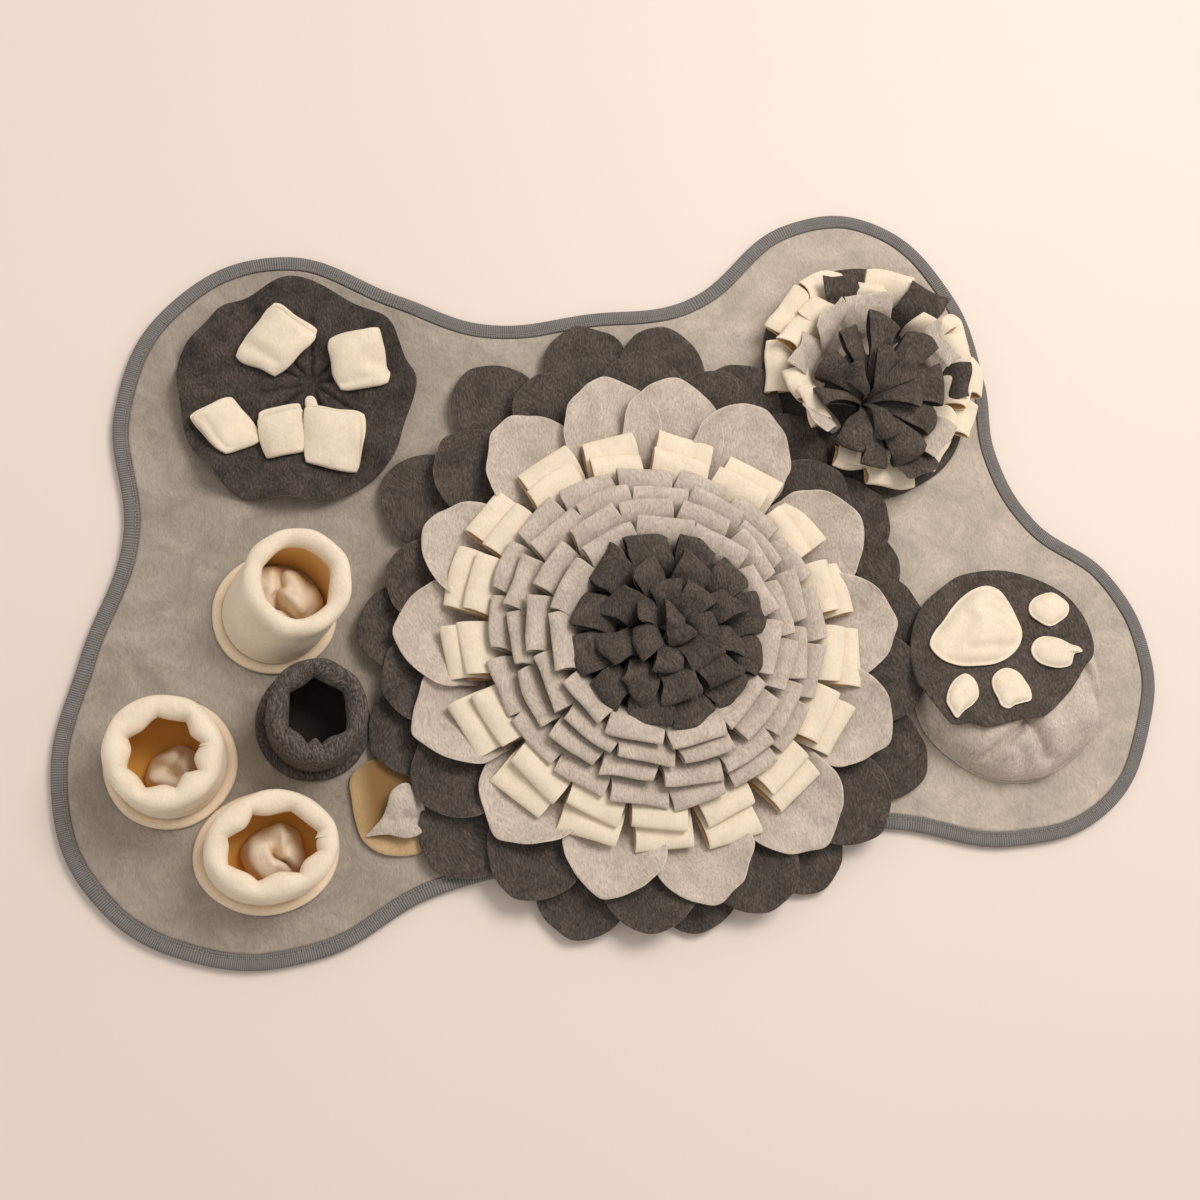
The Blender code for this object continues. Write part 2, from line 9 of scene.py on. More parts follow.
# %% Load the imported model
import math
import random

import bpy
import numpy as np
from mathutils import Matrix, Vector


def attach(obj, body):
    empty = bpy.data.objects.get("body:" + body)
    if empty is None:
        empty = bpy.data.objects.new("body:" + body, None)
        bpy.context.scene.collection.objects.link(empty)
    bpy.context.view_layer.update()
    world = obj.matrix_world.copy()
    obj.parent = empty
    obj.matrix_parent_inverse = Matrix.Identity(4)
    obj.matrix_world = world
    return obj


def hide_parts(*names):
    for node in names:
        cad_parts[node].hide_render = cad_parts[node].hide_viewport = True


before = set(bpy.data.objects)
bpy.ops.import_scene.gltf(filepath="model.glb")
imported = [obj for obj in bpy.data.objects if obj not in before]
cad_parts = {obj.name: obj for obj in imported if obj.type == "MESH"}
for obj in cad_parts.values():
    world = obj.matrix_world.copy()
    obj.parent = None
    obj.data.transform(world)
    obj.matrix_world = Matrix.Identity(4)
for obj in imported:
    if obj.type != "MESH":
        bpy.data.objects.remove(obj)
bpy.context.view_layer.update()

# %% [markdown]
# ## Camera
#
# The picture was taken from high up, a little off straight above, with the camera turned, so the mat
# lies slanting in the frame. A camera is placed by the direction back from the mat to it and by its
# distance. Its roll then turns it about that line.

# %% Camera
LOOK_AT = Vector((-0.005, -0.030, 0.0))
CAMERA_DISTANCE = 1.35
CAMERA_LENS = 51.33  # mm, on a sensor 36 mm wide
CAMERA_AZIMUTH = math.radians(-45)
CAMERA_ELEVATION = math.radians(73)
CAMERA_ROLL = math.radians(36.68)

bpy.ops.object.select_all(action="DESELECT")
back = Vector((
    math.sin(CAMERA_AZIMUTH) * math.cos(CAMERA_ELEVATION),
    -math.cos(CAMERA_AZIMUTH) * math.cos(CAMERA_ELEVATION),
    math.sin(CAMERA_ELEVATION),
))
level_right = Vector((0, 0, 1)).cross(back).normalized()
level_up = back.cross(level_right)
picture_right = math.cos(CAMERA_ROLL) * level_right + math.sin(CAMERA_ROLL) * level_up
picture_up = math.cos(CAMERA_ROLL) * level_up - math.sin(CAMERA_ROLL) * level_right
bpy.ops.object.camera_add()
camera = bpy.context.object
camera.data.lens = CAMERA_LENS
turned = Matrix((picture_right, picture_up, back)).transposed().to_4x4()
camera.matrix_world = Matrix.Translation(LOOK_AT + back * CAMERA_DISTANCE) @ turned
bpy.context.scene.camera = camera
print("camera at", [round(x, 3) for x in camera.location])

# %% [markdown]
# ## Colour
#
# Colours are picked as sRGB hex values, the way a paint program shows them. Blender's shaders take
# linear light, so one function converts them.


# %% From a hex colour to linear light
def linear(hex_colour):
    """Linear red, green, blue and full alpha of an sRGB hex colour such as E0D3C8."""
    shares = [int(hex_colour[start:start + 2], 16) / 255 for start in (0, 2, 4)]
    return (*[x / 12.92 if x <= 0.04045 else ((x + 0.055) / 1.055) ** 2.4 for x in shares], 1.0)


print("the floor's paint is", [round(x, 3) for x in linear("E0D3C8")])

# %% [markdown]
# ## Material nodes
#
# Every material is a handful of nodes. One small function adds a node, sets its values and links it, so
# that a material reads as a list of what is done to the cloth's colour and surface.


# %% One function that adds a node
def add_node(material, kind, inputs, **settings):
    """A node of that kind; inputs holds a value or another node's output for each socket."""
    made = material.node_tree.nodes.new(kind)
    for name, value in settings.items():
        setattr(made, name, value)
    for socket, value in inputs.items():
        if isinstance(value, bpy.types.NodeSocket):
            material.node_tree.links.new(value, made.inputs[socket])
        else:
            made.inputs[socket].default_value = value
    return made


def new_material(name):
    """An empty node material and its shader."""
    material = bpy.data.materials.new(name)
    material.use_nodes = True
    return material, material.node_tree.nodes["Principled BSDF"]


# %% [markdown]
# ## Floor and light
#
# The mat lies on a plain, pale, warm floor. The light is soft and comes mostly from the picture's upper
# right: the petals' lower left halves are bright, and the shade lies to the lower left of each cup. A
# large area lamp makes such soft shade, and a pale world fills it in.

# %% Floor
FLOOR_SIZE = 30.0
FLOOR_LEVEL = -0.0003  # a little under the mat, so that the two faces do not flicker through each other
FLOOR_CLOUD = 0.625  # size of the paint's hardly visible paler patches
bpy.ops.mesh.primitive_plane_add(size=FLOOR_SIZE, location=(0, 0, FLOOR_LEVEL))
floor = bpy.context.object
floor.name = "floor"
# matt painted floor: plain and pale, evenly rolled on, with a faint soft gloss
floor_material, floor_shader = new_material("matt painted floor")
place = add_node(floor_material, "ShaderNodeTexCoord", {}).outputs["Object"]
clouds = add_node(floor_material, "ShaderNodeTexNoise", {
    "Vector": place, "Scale": 1 / FLOOR_CLOUD, "Detail": 3.0, "Roughness": 0.5,
})
paint = add_node(floor_material, "ShaderNodeMix", {
    0: clouds.outputs["Fac"], 6: linear("E0D3C8"), 7: linear("E6DBD1"),
}, data_type="RGBA").outputs[2]
floor_material.node_tree.links.new(paint, floor_shader.inputs["Base Color"])
floor_shader.inputs["Roughness"].default_value = 0.50
floor_shader.inputs["Specular IOR Level"].default_value = 0.25
floor.data.materials.append(floor_material)
print("floor", FLOOR_SIZE, "m wide")

# %% Lamps and world
KEY_DISTANCE = 2.4
KEY_SIZE = 1.1
KEY_POWER = 38.0  # watts
FILL_DISTANCE = 2.6
FILL_SIZE = 2.4
FILL_POWER = 4.0
WORLD_STRENGTH = 0.60


def add_lamp(name, direction, distance, size, power, colour):
    """An area lamp that shines from that direction on the middle of the mat."""
    bpy.ops.object.light_add(type="AREA", location=direction.normalized() * distance)
    lamp = bpy.context.object
    lamp.name = name
    lamp.rotation_euler = direction.to_track_quat("Z", "Y").to_euler()
    lamp.data.size = size
    lamp.data.energy = power
    lamp.data.color = linear(colour)[:3]


key_side = 0.75 * picture_right + 0.80 * picture_up + 1.0 * back
fill_side = -0.9 * picture_right + 0.2 * picture_up + back
add_lamp("key", key_side, KEY_DISTANCE, KEY_SIZE, KEY_POWER, "FFF9F4")
add_lamp("fill", fill_side, FILL_DISTANCE, FILL_SIZE, FILL_POWER, "FDFBFF")
world = bpy.data.worlds.new("studio")
world.use_nodes = True
sky = world.node_tree.nodes["Background"]
sky.inputs["Color"].default_value = linear("FFF7F0")
sky.inputs["Strength"].default_value = WORLD_STRENGTH
bpy.context.scene.world = world
bpy.context.scene.view_settings.view_transform = "Standard"
print("key lamp", KEY_POWER, "W")

# %% [markdown]
# ## Fleece
#
# Fleece is knitted polyester whose face is brushed into a dense, matt nap. The eye sees three things:
# a heather of lighter and darker fibres about a millimetre long, soft cloudy patches where the nap lies
# another way, and a faint glow at grazing angles. Noise at those three sizes drives colour and bump,
# and the shader's sheen gives the glow. Cut edges show the knit's paler middle, so they get a material
# of their own. The inside of a fold is in warm shade, and a third material paints that shade into its colour.

# %% Fleece materials
FIBRE = 0.0013  # width of a heather fleck; finer ones would not show at this picture's scale
NAP_PATCH = 0.016  # size of the cloudy patches
LUMP = 0.0050  # size of the soft lumps in the cloth
LUMP_DEPTH = 0.0010
NAP_DEPTH = 0.0006
FLECK_SPREAD = 0.15  # how far from the middle of the noise the palest and darkest flecks lie
FIBRE_DRIFT = 0.060  # distance over which the fibres' direction wanders
FIBRE_HEADING = math.radians(35)  # turns the noise's own grid away from the mat's
FIBRE_STRETCH = (1.0, 0.36, 0.7)  # the flecks are longest along Y


def lying_fibres(material, place, length, swirl):
    """Noise stretched along a direction that wanders, like fibres that lie together."""
    drift = add_node(material, "ShaderNodeTexNoise", {
        "Vector": place, "Scale": 1 / FIBRE_DRIFT, "Detail": 1.0,
    }).outputs["Color"]
    bent = add_node(material, "ShaderNodeMix", {0: swirl, 4: place, 5: drift}, data_type="VECTOR").outputs[1]
    lain = add_node(material, "ShaderNodeMapping", {
        "Vector": bent, "Rotation": (0.0, 0.0, FIBRE_HEADING), "Scale": FIBRE_STRETCH,
    }).outputs["Vector"]
    return add_node(material, "ShaderNodeTexNoise", {
        "Vector": lain, "Scale": 1 / length, "Detail": 4.0, "Roughness": 0.65,
    }).outputs["Fac"]


def new_fleece(name, base, light, dark, heather, patchy, nap=0.5):
    """Brushed fleece: heathered flecks, cloudy patches, a bumpy nap and sheen."""
    material, shader = new_material(name)
    place = add_node(material, "ShaderNodeTexCoord", {}).outputs["Object"]
    flecks = lying_fibres(material, place, FIBRE, 0.03)
    spread = FLECK_SPREAD / heather
    toned = add_node(material, "ShaderNodeValToRGB", {"Fac": flecks})
    ramp = toned.color_ramp
    ramp.elements[0].position = 0.5 - spread
    ramp.elements[0].color = linear(dark)
    ramp.elements[1].position = 0.5 + spread
    ramp.elements[1].color = linear(light)
    ramp.elements.new(0.5).color = linear(base)
    clouds = add_node(material, "ShaderNodeTexNoise", {
        "Vector": place, "Scale": 1 / NAP_PATCH, "Detail": 2.0, "Roughness": 0.5,
    }).outputs["Fac"]
    shade = add_node(material, "ShaderNodeMapRange", {
        "Value": clouds, "From Min": 0.3, "From Max": 0.7, "To Min": 1 - patchy, "To Max": 1 + patchy,
    }).outputs["Result"]
    colour = add_node(material, "ShaderNodeMix", {
        0: 1.0, 6: toned.outputs["Color"], 7: shade,
    }, data_type="RGBA", blend_type="MULTIPLY").outputs[2]
    lumps = add_node(material, "ShaderNodeTexNoise", {
        "Vector": place, "Scale": 1 / LUMP, "Detail": 2.0, "Roughness": 0.5,
    }).outputs["Fac"]
    soft = add_node(material, "ShaderNodeBump", {
        "Height": lumps, "Strength": nap, "Distance": LUMP_DEPTH,
    }).outputs["Normal"]
    fuzzy = add_node(material, "ShaderNodeBump", {
        "Height": flecks, "Strength": nap, "Distance": NAP_DEPTH, "Normal": soft,
    }).outputs["Normal"]
    material.node_tree.links.new(colour, shader.inputs["Base Color"])
    material.node_tree.links.new(fuzzy, shader.inputs["Normal"])
    shader.inputs["Roughness"].default_value = 0.95
    shader.inputs["Specular IOR Level"].default_value = 0.15
    shader.inputs["Sheen Weight"].default_value = 0.25
    shader.inputs["Sheen Roughness"].default_value = 0.5
    shader.inputs["Sheen Tint"].default_value = linear(light)
    return material


# Each cloth is a list: its face, its cut edge, and its face inside a fold, with painted shade
CLOTHS = {
    # charcoal fleece: warm dark grey with paler flecks, reads soft and light-swallowing
    "charcoal_fleece": [
        new_fleece("charcoal fleece", "4D4640", "625A54", "3A3430", 0.9, 0.20),
        new_fleece("charcoal fleece, cut edge", "625A53", "786F68", "4C4540", 0.9, 0.12),
        new_fleece("charcoal fleece, painted fold shade", "3C3632", "4A433E", "2D2825", 0.8, 0.12),
    ],
    # light grey fleece: warm heathered grey, the flecks show most in it
    "light_grey_fleece": [
        new_fleece("light grey fleece", "BFB2A5", "CFC4B8", "A99C90", 0.8, 0.10),
        new_fleece("light grey fleece, cut edge", "D0C3B5", "DED3C7", "BCAEA0", 0.8, 0.06),
        new_fleece("light grey fleece, painted fold shade", "A89A8B", "B8AB9D", "92857A", 0.8, 0.08),
    ],
    # cream fleece: nearly plain, warm, its flecks hardly show
    "cream_fleece": [
        new_fleece("cream fleece", "E5D8C2", "EBDFCD", "DDCCB3", 0.6, 0.05, nap=0.35),
        new_fleece("cream fleece, cut edge", "EBDDC8", "F0E5D3", "E3D2B8", 0.6, 0.04, nap=0.35),
        new_fleece("cream fleece, painted fold shade", "D9B27A", "E2BE8B", "CBA067", 0.6, 0.05, nap=0.35),
    ],
    # tan fleece: the darker, yellower cloth of the side pocket
    "tan_fleece": [
        new_fleece("tan fleece", "C0A37B", "CBB08A", "B2946B", 0.6, 0.10, nap=0.35),
        new_fleece("tan fleece, cut edge", "DCC7A6", "E4D2B5", "D0B792", 0.6, 0.05, nap=0.35),
        new_fleece("tan fleece, painted fold shade", "B78E55", "C39B63", "A67E48", 0.6, 0.05, nap=0.35),
    ],
}
print(sum(len(kinds) for kinds in CLOTHS.values()), "fleece materials")

# %% [markdown]
# ## Shaping cloth from a grid
#
# A sheet of cloth is a grid of faces. `cloth_grid` adds a grid primitive and hands its vertices to a
# function that says where each of them lies: u runs across the sheet and v along it, both from 0 to 1.
# numpy moves them all at once, so that a hundred strips take a second.


# %% A grid whose vertices are placed by a function
def select_only(piece):
    bpy.ops.object.select_all(action="DESELECT")
    piece.select_set(True)
    bpy.context.view_layer.objects.active = piece


def vertices_of(piece):
    """The places of a mesh's vertices, as rows of x, y and z."""
    spots = np.empty(len(piece.data.vertices) * 3)
    piece.data.vertices.foreach_get("co", spots)
    return spots.reshape(-1, 3)


def move_vertices(piece, spots):
    piece.data.vertices.foreach_set("co", np.ascontiguousarray(spots, dtype=float).ravel())
    piece.data.update()


def cloth_grid(name, columns, rows, place):
    """A grid whose vertices lie at place(u, v), which takes and returns numpy columns."""
    bpy.ops.object.select_all(action="DESELECT")
    bpy.ops.mesh.primitive_grid_add(x_subdivisions=columns, y_subdivisions=rows, size=2)
    piece = bpy.context.object
    piece.name = piece.data.name = name
    flat = vertices_of(piece)
    u = (flat[:, 0] + 1) / 2
    v = (flat[:, 1] + 1) / 2
    move_vertices(piece, np.column_stack(place(u, v)))
    return piece


def weld(piece, distance):
    """Joins the vertices where the two ends of a sheet meet."""
    select_only(piece)
    bpy.ops.object.mode_set(mode="EDIT")
    bpy.ops.mesh.select_all(action="SELECT")
    bpy.ops.mesh.remove_doubles(threshold=distance)
    bpy.ops.object.mode_set(mode="OBJECT")


def face_outwards(piece):
    """Turns the faces of a closed shell outwards."""
    select_only(piece)
    bpy.ops.object.mode_set(mode="EDIT")
    bpy.ops.mesh.select_all(action="SELECT")
    bpy.ops.mesh.normals_make_consistent(inside=False)
    bpy.ops.object.mode_set(mode="OBJECT")


def join(name, pieces):
    """One mesh made of several."""
    select_only(pieces[0])
    for piece in pieces:
        piece.select_set(True)
    if len(pieces) > 1:
        bpy.ops.object.join()
    pieces[0].name = pieces[0].data.name = name
    return pieces[0]


print("cloth helpers ready")

# %% [markdown]
# ## Thickness, soft edges and waviness
#
# Solidify gives a sheet its thickness and puts the cut-edge material on its rim and, where asked, the
# material with painted fold shade on its inner side. One level of Subdivision Surface rounds the rim, as
# fleece edges are soft.
# Real cloth is never quite regular. A few waves of random direction, summed, push every vertex a little,
# and the same seed always gives the same waves.


# %% Finishing helpers
FLEECE = 0.0016  # thickness of one layer
GAP = 0.0003  # clearance between pieces that touch
WAVES = 7  # how many waves are summed


def wander(spots, size, amount, seed):
    """The points pushed by smooth waves about size long, by about amount."""
    chance = np.random.default_rng(seed)
    push = np.zeros_like(spots)
    for _ in range(WAVES):
        wave = chance.normal(size=3)
        wave *= 2 * math.pi / size * chance.uniform(0.6, 1.5) / np.linalg.norm(wave)
        push += np.outer(np.sin(spots @ wave + chance.uniform(0, 2 * math.pi)), chance.normal(size=3))
    return spots + push * amount / math.sqrt(WAVES)


def thicken(piece, cloth, thickness=FLEECE, smooth_levels=1, paint_fold_shade=False):
    """Gives a sheet its thickness, its soft rim and its materials."""
    materials = CLOTHS[cloth]
    for material in materials:
        piece.data.materials.append(material)
    select_only(piece)
    walls = piece.modifiers.new("thickness", "SOLIDIFY")
    walls.thickness = thickness
    walls.offset = 0.0
    walls.material_offset_rim = min(1, len(materials) - 1)
    # the inner side can get the material with painted fold shade
    walls.material_offset = 2 if paint_fold_shade else 0
    bpy.ops.object.modifier_apply(modifier=walls.name)
    if smooth_levels:
        rounding = piece.modifiers.new("rounding", "SUBSURF")
        rounding.levels = rounding.render_levels = smooth_levels
        bpy.ops.object.modifier_apply(modifier=rounding.name)
    bpy.ops.object.shade_smooth()


def seat(piece, slot, *nodes):
    """Puts a finished piece in the frame, in place of CAD nodes."""
    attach(piece, "root")
    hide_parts(*nodes)
    triangles = sum(len(face.vertices) - 2 for face in piece.data.polygons)
    print(f"{piece.name}: {triangles} triangles")
    return piece


def smooth_line(points, shares, lengths=slice(None)):
    """Points at those shares of the length of the smooth line through the given ones.

    lengths says which columns are lengths, where others are carried along.
    """
    points = np.asarray(points, dtype=float)
    steps = np.linalg.norm(np.diff(points[:, lengths], axis=0), axis=1)
    marks = np.concatenate(([0.0], np.cumsum(steps)))
    slopes = np.gradient(points, marks, axis=0)
    along = np.asarray(shares) * marks[-1]
    k = np.clip(np.searchsorted(marks, along, side="right") - 1, 0, len(points) - 2)
    h = (marks[k + 1] - marks[k])[:, None]
    s = ((along - marks[k]) / (marks[k + 1] - marks[k]))[:, None]
    return (
        (2 * s**3 - 3 * s**2 + 1) * points[k] + (s**3 - 2 * s**2 + s) * h * slopes[k]
        + (3 * s**2 - 2 * s**3) * points[k + 1] + (s**3 - s**2) * h * slopes[k + 1]
    )


print("finishing helpers ready")

# %% [markdown]
# ## The outline
#
# The mat's edge is one smooth closed curve through listed knots. A Bezier curve with automatic
# handles draws it, and its points are read back from the mesh that Blender makes of it. The same curve
# serves the body, the binding and the stitches.

# %% Outline of the mat
OUTLINE = (  # x, y
    (0.446, -0.134), (0.425, -0.062), (0.370, -0.008), (0.350, 0.050), (0.354, 0.115), (0.341, 0.198),
    (0.285, 0.267), (0.209, 0.273), (0.106, 0.212), (0.026, 0.208), (-0.062, 0.207), (-0.126, 0.237),
    (-0.216, 0.279), (-0.308, 0.246), (-0.357, 0.165), (-0.362, 0.060), (-0.401, -0.025),
    (-0.431, -0.117), (-0.412, -0.203), (-0.339, -0.262), (-0.255, -0.271), (-0.165, -0.239),
    (-0.060, -0.232), (0.090, -0.232), (0.195, -0.243), (0.290, -0.271), (0.380, -0.255),
    (0.432, -0.190),
)
OUTLINE_STEPS = 14  # points for each stretch between two knots


def smooth_outline():
    curve = bpy.data.curves.new("outline", "CURVE")
    curve.dimensions = "2D"
    curve.fill_mode = "NONE"
    curve.resolution_u = OUTLINE_STEPS
    spline = curve.splines.new("BEZIER")
    spline.bezier_points.add(len(OUTLINE) - 1)
    spline.use_cyclic_u = True
    for point, (x, y) in zip(spline.bezier_points, OUTLINE):
        point.co = (x, y, 0)
        point.handle_left_type = point.handle_right_type = "AUTO"
    guide = bpy.data.objects.new("outline", curve)
    bpy.context.collection.objects.link(guide)
    bpy.context.view_layer.update()
    points = np.array([vert.co.xy for vert in guide.to_mesh().vertices])
    guide.to_mesh_clear()
    bpy.data.objects.remove(guide)
    return points


outline = smooth_outline()
outline_steps = np.linalg.norm(np.roll(outline, -1, axis=0) - outline, axis=1)
outline_marks = np.concatenate(([0.0], np.cumsum(outline_steps)))
ahead = np.roll(outline, -1, axis=0) - np.roll(outline, 1, axis=0)
ahead /= np.linalg.norm(ahead, axis=1)[:, None]
inwards = np.column_stack((-ahead[:, 1], ahead[:, 0]))
print(len(outline), "points round", round(outline_marks[-1], 3), "m of edge")

# %% [markdown]
# ## Velour
#
# The mat's face is a short-pile velour. Its pile is brushed about by hands and noses, so it shows
# streaks a few millimetres long, pale where the pile leans towards the light and dark where it leans
# away, on top of larger smudges. Noise stretched along one direction, and warped so that the direction
# wanders, draws the streaks. Shade is painted across the mat along X, so that its left half looks darker
# and its right half a little lighter.

# %% Velour material
PILE_STREAK = 0.0014
SMUDGE = 0.032
SMUDGE_DEPTH = 0.004
PILE_DEPTH = 0.0010
PAINTED_SHADE_FROM = -0.22  # the painted shade changes from dark to light between these two places along X
PAINTED_SHADE_TO = 0.16


def new_velour():
    material, shader = new_material("taupe velour")
    place = add_node(material, "ShaderNodeTexCoord", {}).outputs["Object"]
    streaks = lying_fibres(material, place, PILE_STREAK, 0.035)
    smudges = add_node(material, "ShaderNodeTexNoise", {
        "Vector": place, "Scale": 1 / SMUDGE, "Detail": 4.0, "Roughness": 0.62, "Distortion": 0.8,
    }).outputs["Fac"]
    toned = add_node(material, "ShaderNodeValToRGB", {"Fac": streaks})
    ramp = toned.color_ramp
    ramp.elements[0].position = 0.33
    ramp.elements[0].color = linear("A2988C")
    ramp.elements[1].position = 0.67
    ramp.elements[1].color = linear("B7AC9E")
    shade = add_node(material, "ShaderNodeMapRange", {
        "Value": smudges, "From Min": 0.30, "From Max": 0.70, "To Min": 0.82, "To Max": 1.17,
    }).outputs["Result"]
    mottled = add_node(material, "ShaderNodeMix", {
        0: 1.0, 6: toned.outputs["Color"], 7: shade,
    }, data_type="RGBA", blend_type="MULTIPLY").outputs[2]
    along = add_node(material, "ShaderNodeSeparateXYZ", {"Vector": place}).outputs["X"]
    # painted shade: the mat darker towards its left and lighter towards its right, along X
    painted_shade_across = add_node(material, "ShaderNodeMapRange", {
        "Value": along, "From Min": PAINTED_SHADE_FROM, "From Max": PAINTED_SHADE_TO, "To Min": 0.81, "To Max": 1.14,
    }, interpolation_type="SMOOTHSTEP").outputs["Result"]
    colour = add_node(material, "ShaderNodeMix", {
        0: 1.0, 6: mottled, 7: painted_shade_across,
    }, data_type="RGBA", blend_type="MULTIPLY").outputs[2]
    dented = add_node(material, "ShaderNodeBump", {
        "Height": smudges, "Strength": 0.5, "Distance": SMUDGE_DEPTH,
    }).outputs["Normal"]
    napped = add_node(material, "ShaderNodeBump", {
        "Height": streaks, "Strength": 0.55, "Distance": PILE_DEPTH, "Normal": dented,
    }).outputs["Normal"]
    material.node_tree.links.new(colour, shader.inputs["Base Color"])
    material.node_tree.links.new(napped, shader.inputs["Normal"])
    shader.inputs["Roughness"].default_value = 0.9
    shader.inputs["Specular IOR Level"].default_value = 0.2
    shader.inputs["Sheen Weight"].default_value = 0.3
    shader.inputs["Sheen Roughness"].default_value = 0.45
    shader.inputs["Sheen Tint"].default_value = linear("D8CEC2")
    return material


velour = new_velour()
print("velour streaks", PILE_STREAK * 1000, "mm")

# %% [markdown]
# ## The mat's body
#
# Two cloths with thin wadding between them, pressed flat at the edge where the binding holds them. Its
# top is a grid in rings about the middle: each ring is the outline drawn in by a share. The top sinks in
# soft dips, because wadding is uneven, and puckers a little next to the binding, where the machine drew
# the cloth in.

# %% Body
PAD_TOP = 0.0070
BINDING_WIDTH = 0.0122
BINDING_TOP = 0.0076
TAPE = 0.0015  # thickness of the folded tape
TONGUE_INSET = 0.0030  # the body's thin edge ends this far inside the outline
SHOULDER = BINDING_WIDTH + GAP  # where the body's thin edge begins
TOP_RINGS = 54
RING_CROWDING = 0.8  # below 1, the rings lie closer together towards the edge
DIP_DEPTH = 0.0014
DIP_BROAD = 0.110  # sizes of the broad and the close dips
DIP_CLOSE = 0.038
PUCKER_LENGTH = 0.027
PUCKER_DEPTH = 0.0005
EDGE_SECTION = (  # inset from the outline, height
    (SHOULDER + 0.0060, PAD_TOP),
    (SHOULDER + 0.0022, PAD_TOP + 0.0003),
    (SHOULDER + 0.0006, PAD_TOP - 0.0002),
    (SHOULDER, BINDING_TOP - TAPE - GAP),
    (TONGUE_INSET, BINDING_TOP - TAPE - GAP),
    (TONGUE_INSET, TAPE + GAP),
    (SHOULDER, TAPE + GAP),
    (SHOULDER + 0.0008, 0.0004),
    (SHOULDER + 0.0030, 0.0),
)


def dips(x, y):
    """How far the mat's top lies under its highest level, from 0 to about 1.4 mm."""
    spots = np.column_stack((x, y, np.zeros_like(x)))
    broad = wander(spots, DIP_BROAD, 1.0, 11)[:, 0] - x
    close = wander(spots, DIP_CLOSE, 1.0, 12)[:, 0] - x
    return DIP_DEPTH * np.clip(0.45 + 0.35 * broad + 0.22 * close, 0, 1)


def body_place(u, v):
    count = len(outline)
    column = np.rint(u * count).astype(int) % count
    row = np.rint(v * (TOP_RINGS + len(EDGE_SECTION))).astype(int)
    edge = np.clip(row - TOP_RINGS, 0, len(EDGE_SECTION) - 1)
    section = np.array(EDGE_SECTION)[edge]
    spots = outline[column] + inwards[column] * section[:, :1]
    share = np.clip(row / TOP_RINGS, 0, 1) ** RING_CROWDING
    under = row > TOP_RINGS + len(EDGE_SECTION) - 1
    share[under] = 0.0
    spots = spots * share[:, None]
    depth = dips(spots[:, 0], spots[:, 1])
    near_edge = np.exp(-((1 - share) / 0.05) ** 2)
    waves = outline_marks[column] / PUCKER_LENGTH * 2 * math.pi
    pucker = PUCKER_DEPTH * near_edge * (1 + np.sin(waves + 1.5 * np.sin(waves * 0.23)))
    on_top = row <= TOP_RINGS + 1
    height = section[:, 1] - np.where(on_top, depth * (1 - 0.5 * near_edge) + pucker, 0)
    height[under] = 0.0
    return spots[:, 0], spots[:, 1], height


body = cloth_grid("mat_body", len(outline), TOP_RINGS + len(EDGE_SECTION), body_place)
weld(body, 0.00002)
face_outwards(body)
bpy.ops.object.shade_smooth()
body.data.materials.append(velour)
seat(body, "taupe_velour", "mat_pad")

# %% [markdown]
# ## The edge binding
#
# A ribbed tape folded in a U over the whole edge. Its fine cross ribs are 1.7 mm apart, too small for
# faces all round more than two and a half metres, so they are a wave in the material that follows the
# tape's own UV map: U runs along the tape and V across it, both in metres. Blender's band wave repeats
# every 2 pi / 20 at a scale of 1, and the ribs' scale is worked out from that.

# %% Binding tape
RIB = 0.0017
OUTER = 0.0006  # the tape's outer fold lies this far inside the outline
SWAY = 0.0004  # the tape's inner edge sways by this much
SWAY_LENGTH = 0.041
WEAR = 0.012  # size of the worn patches
TAPE_SECTION = (  # inset from the outline, height, round the U of the tape
    (BINDING_WIDTH, 0.0004), (0.0080, 0.0), (0.0026, 0.0), (0.0011, 0.0009), (OUTER, 0.0024),
    (OUTER, 0.0052), (0.0011, 0.0067), (0.0026, 0.0076), (0.0055, 0.0079), (0.0078, 0.0076),
    (0.0088, 0.0070), (0.0094, 0.0070), (0.0102, 0.0077), (0.0112, 0.0079), (0.0120, 0.0074),
    (BINDING_WIDTH, 0.0066), (0.0114, BINDING_TOP - TAPE), (TONGUE_INSET - GAP, BINDING_TOP - TAPE),
    (TONGUE_INSET - GAP, TAPE), (0.0114, TAPE),
)


def tape_place(u, v):
    count = len(outline)
    column = np.rint(u * count).astype(int) % count
    row = np.rint(v * len(TAPE_SECTION)).astype(int) % len(TAPE_SECTION)
    section = np.array(TAPE_SECTION)[row]
    sway = SWAY * np.sin(outline_marks[column] / SWAY_LENGTH * 2 * math.pi)
    inset = np.where(section[:, 0] > 0.009, section[:, 0] + sway * 0.4, section[:, 0])
    spots = outline[column] + inwards[column] * inset[:, None]
    return spots[:, 0], spots[:, 1], section[:, 1]


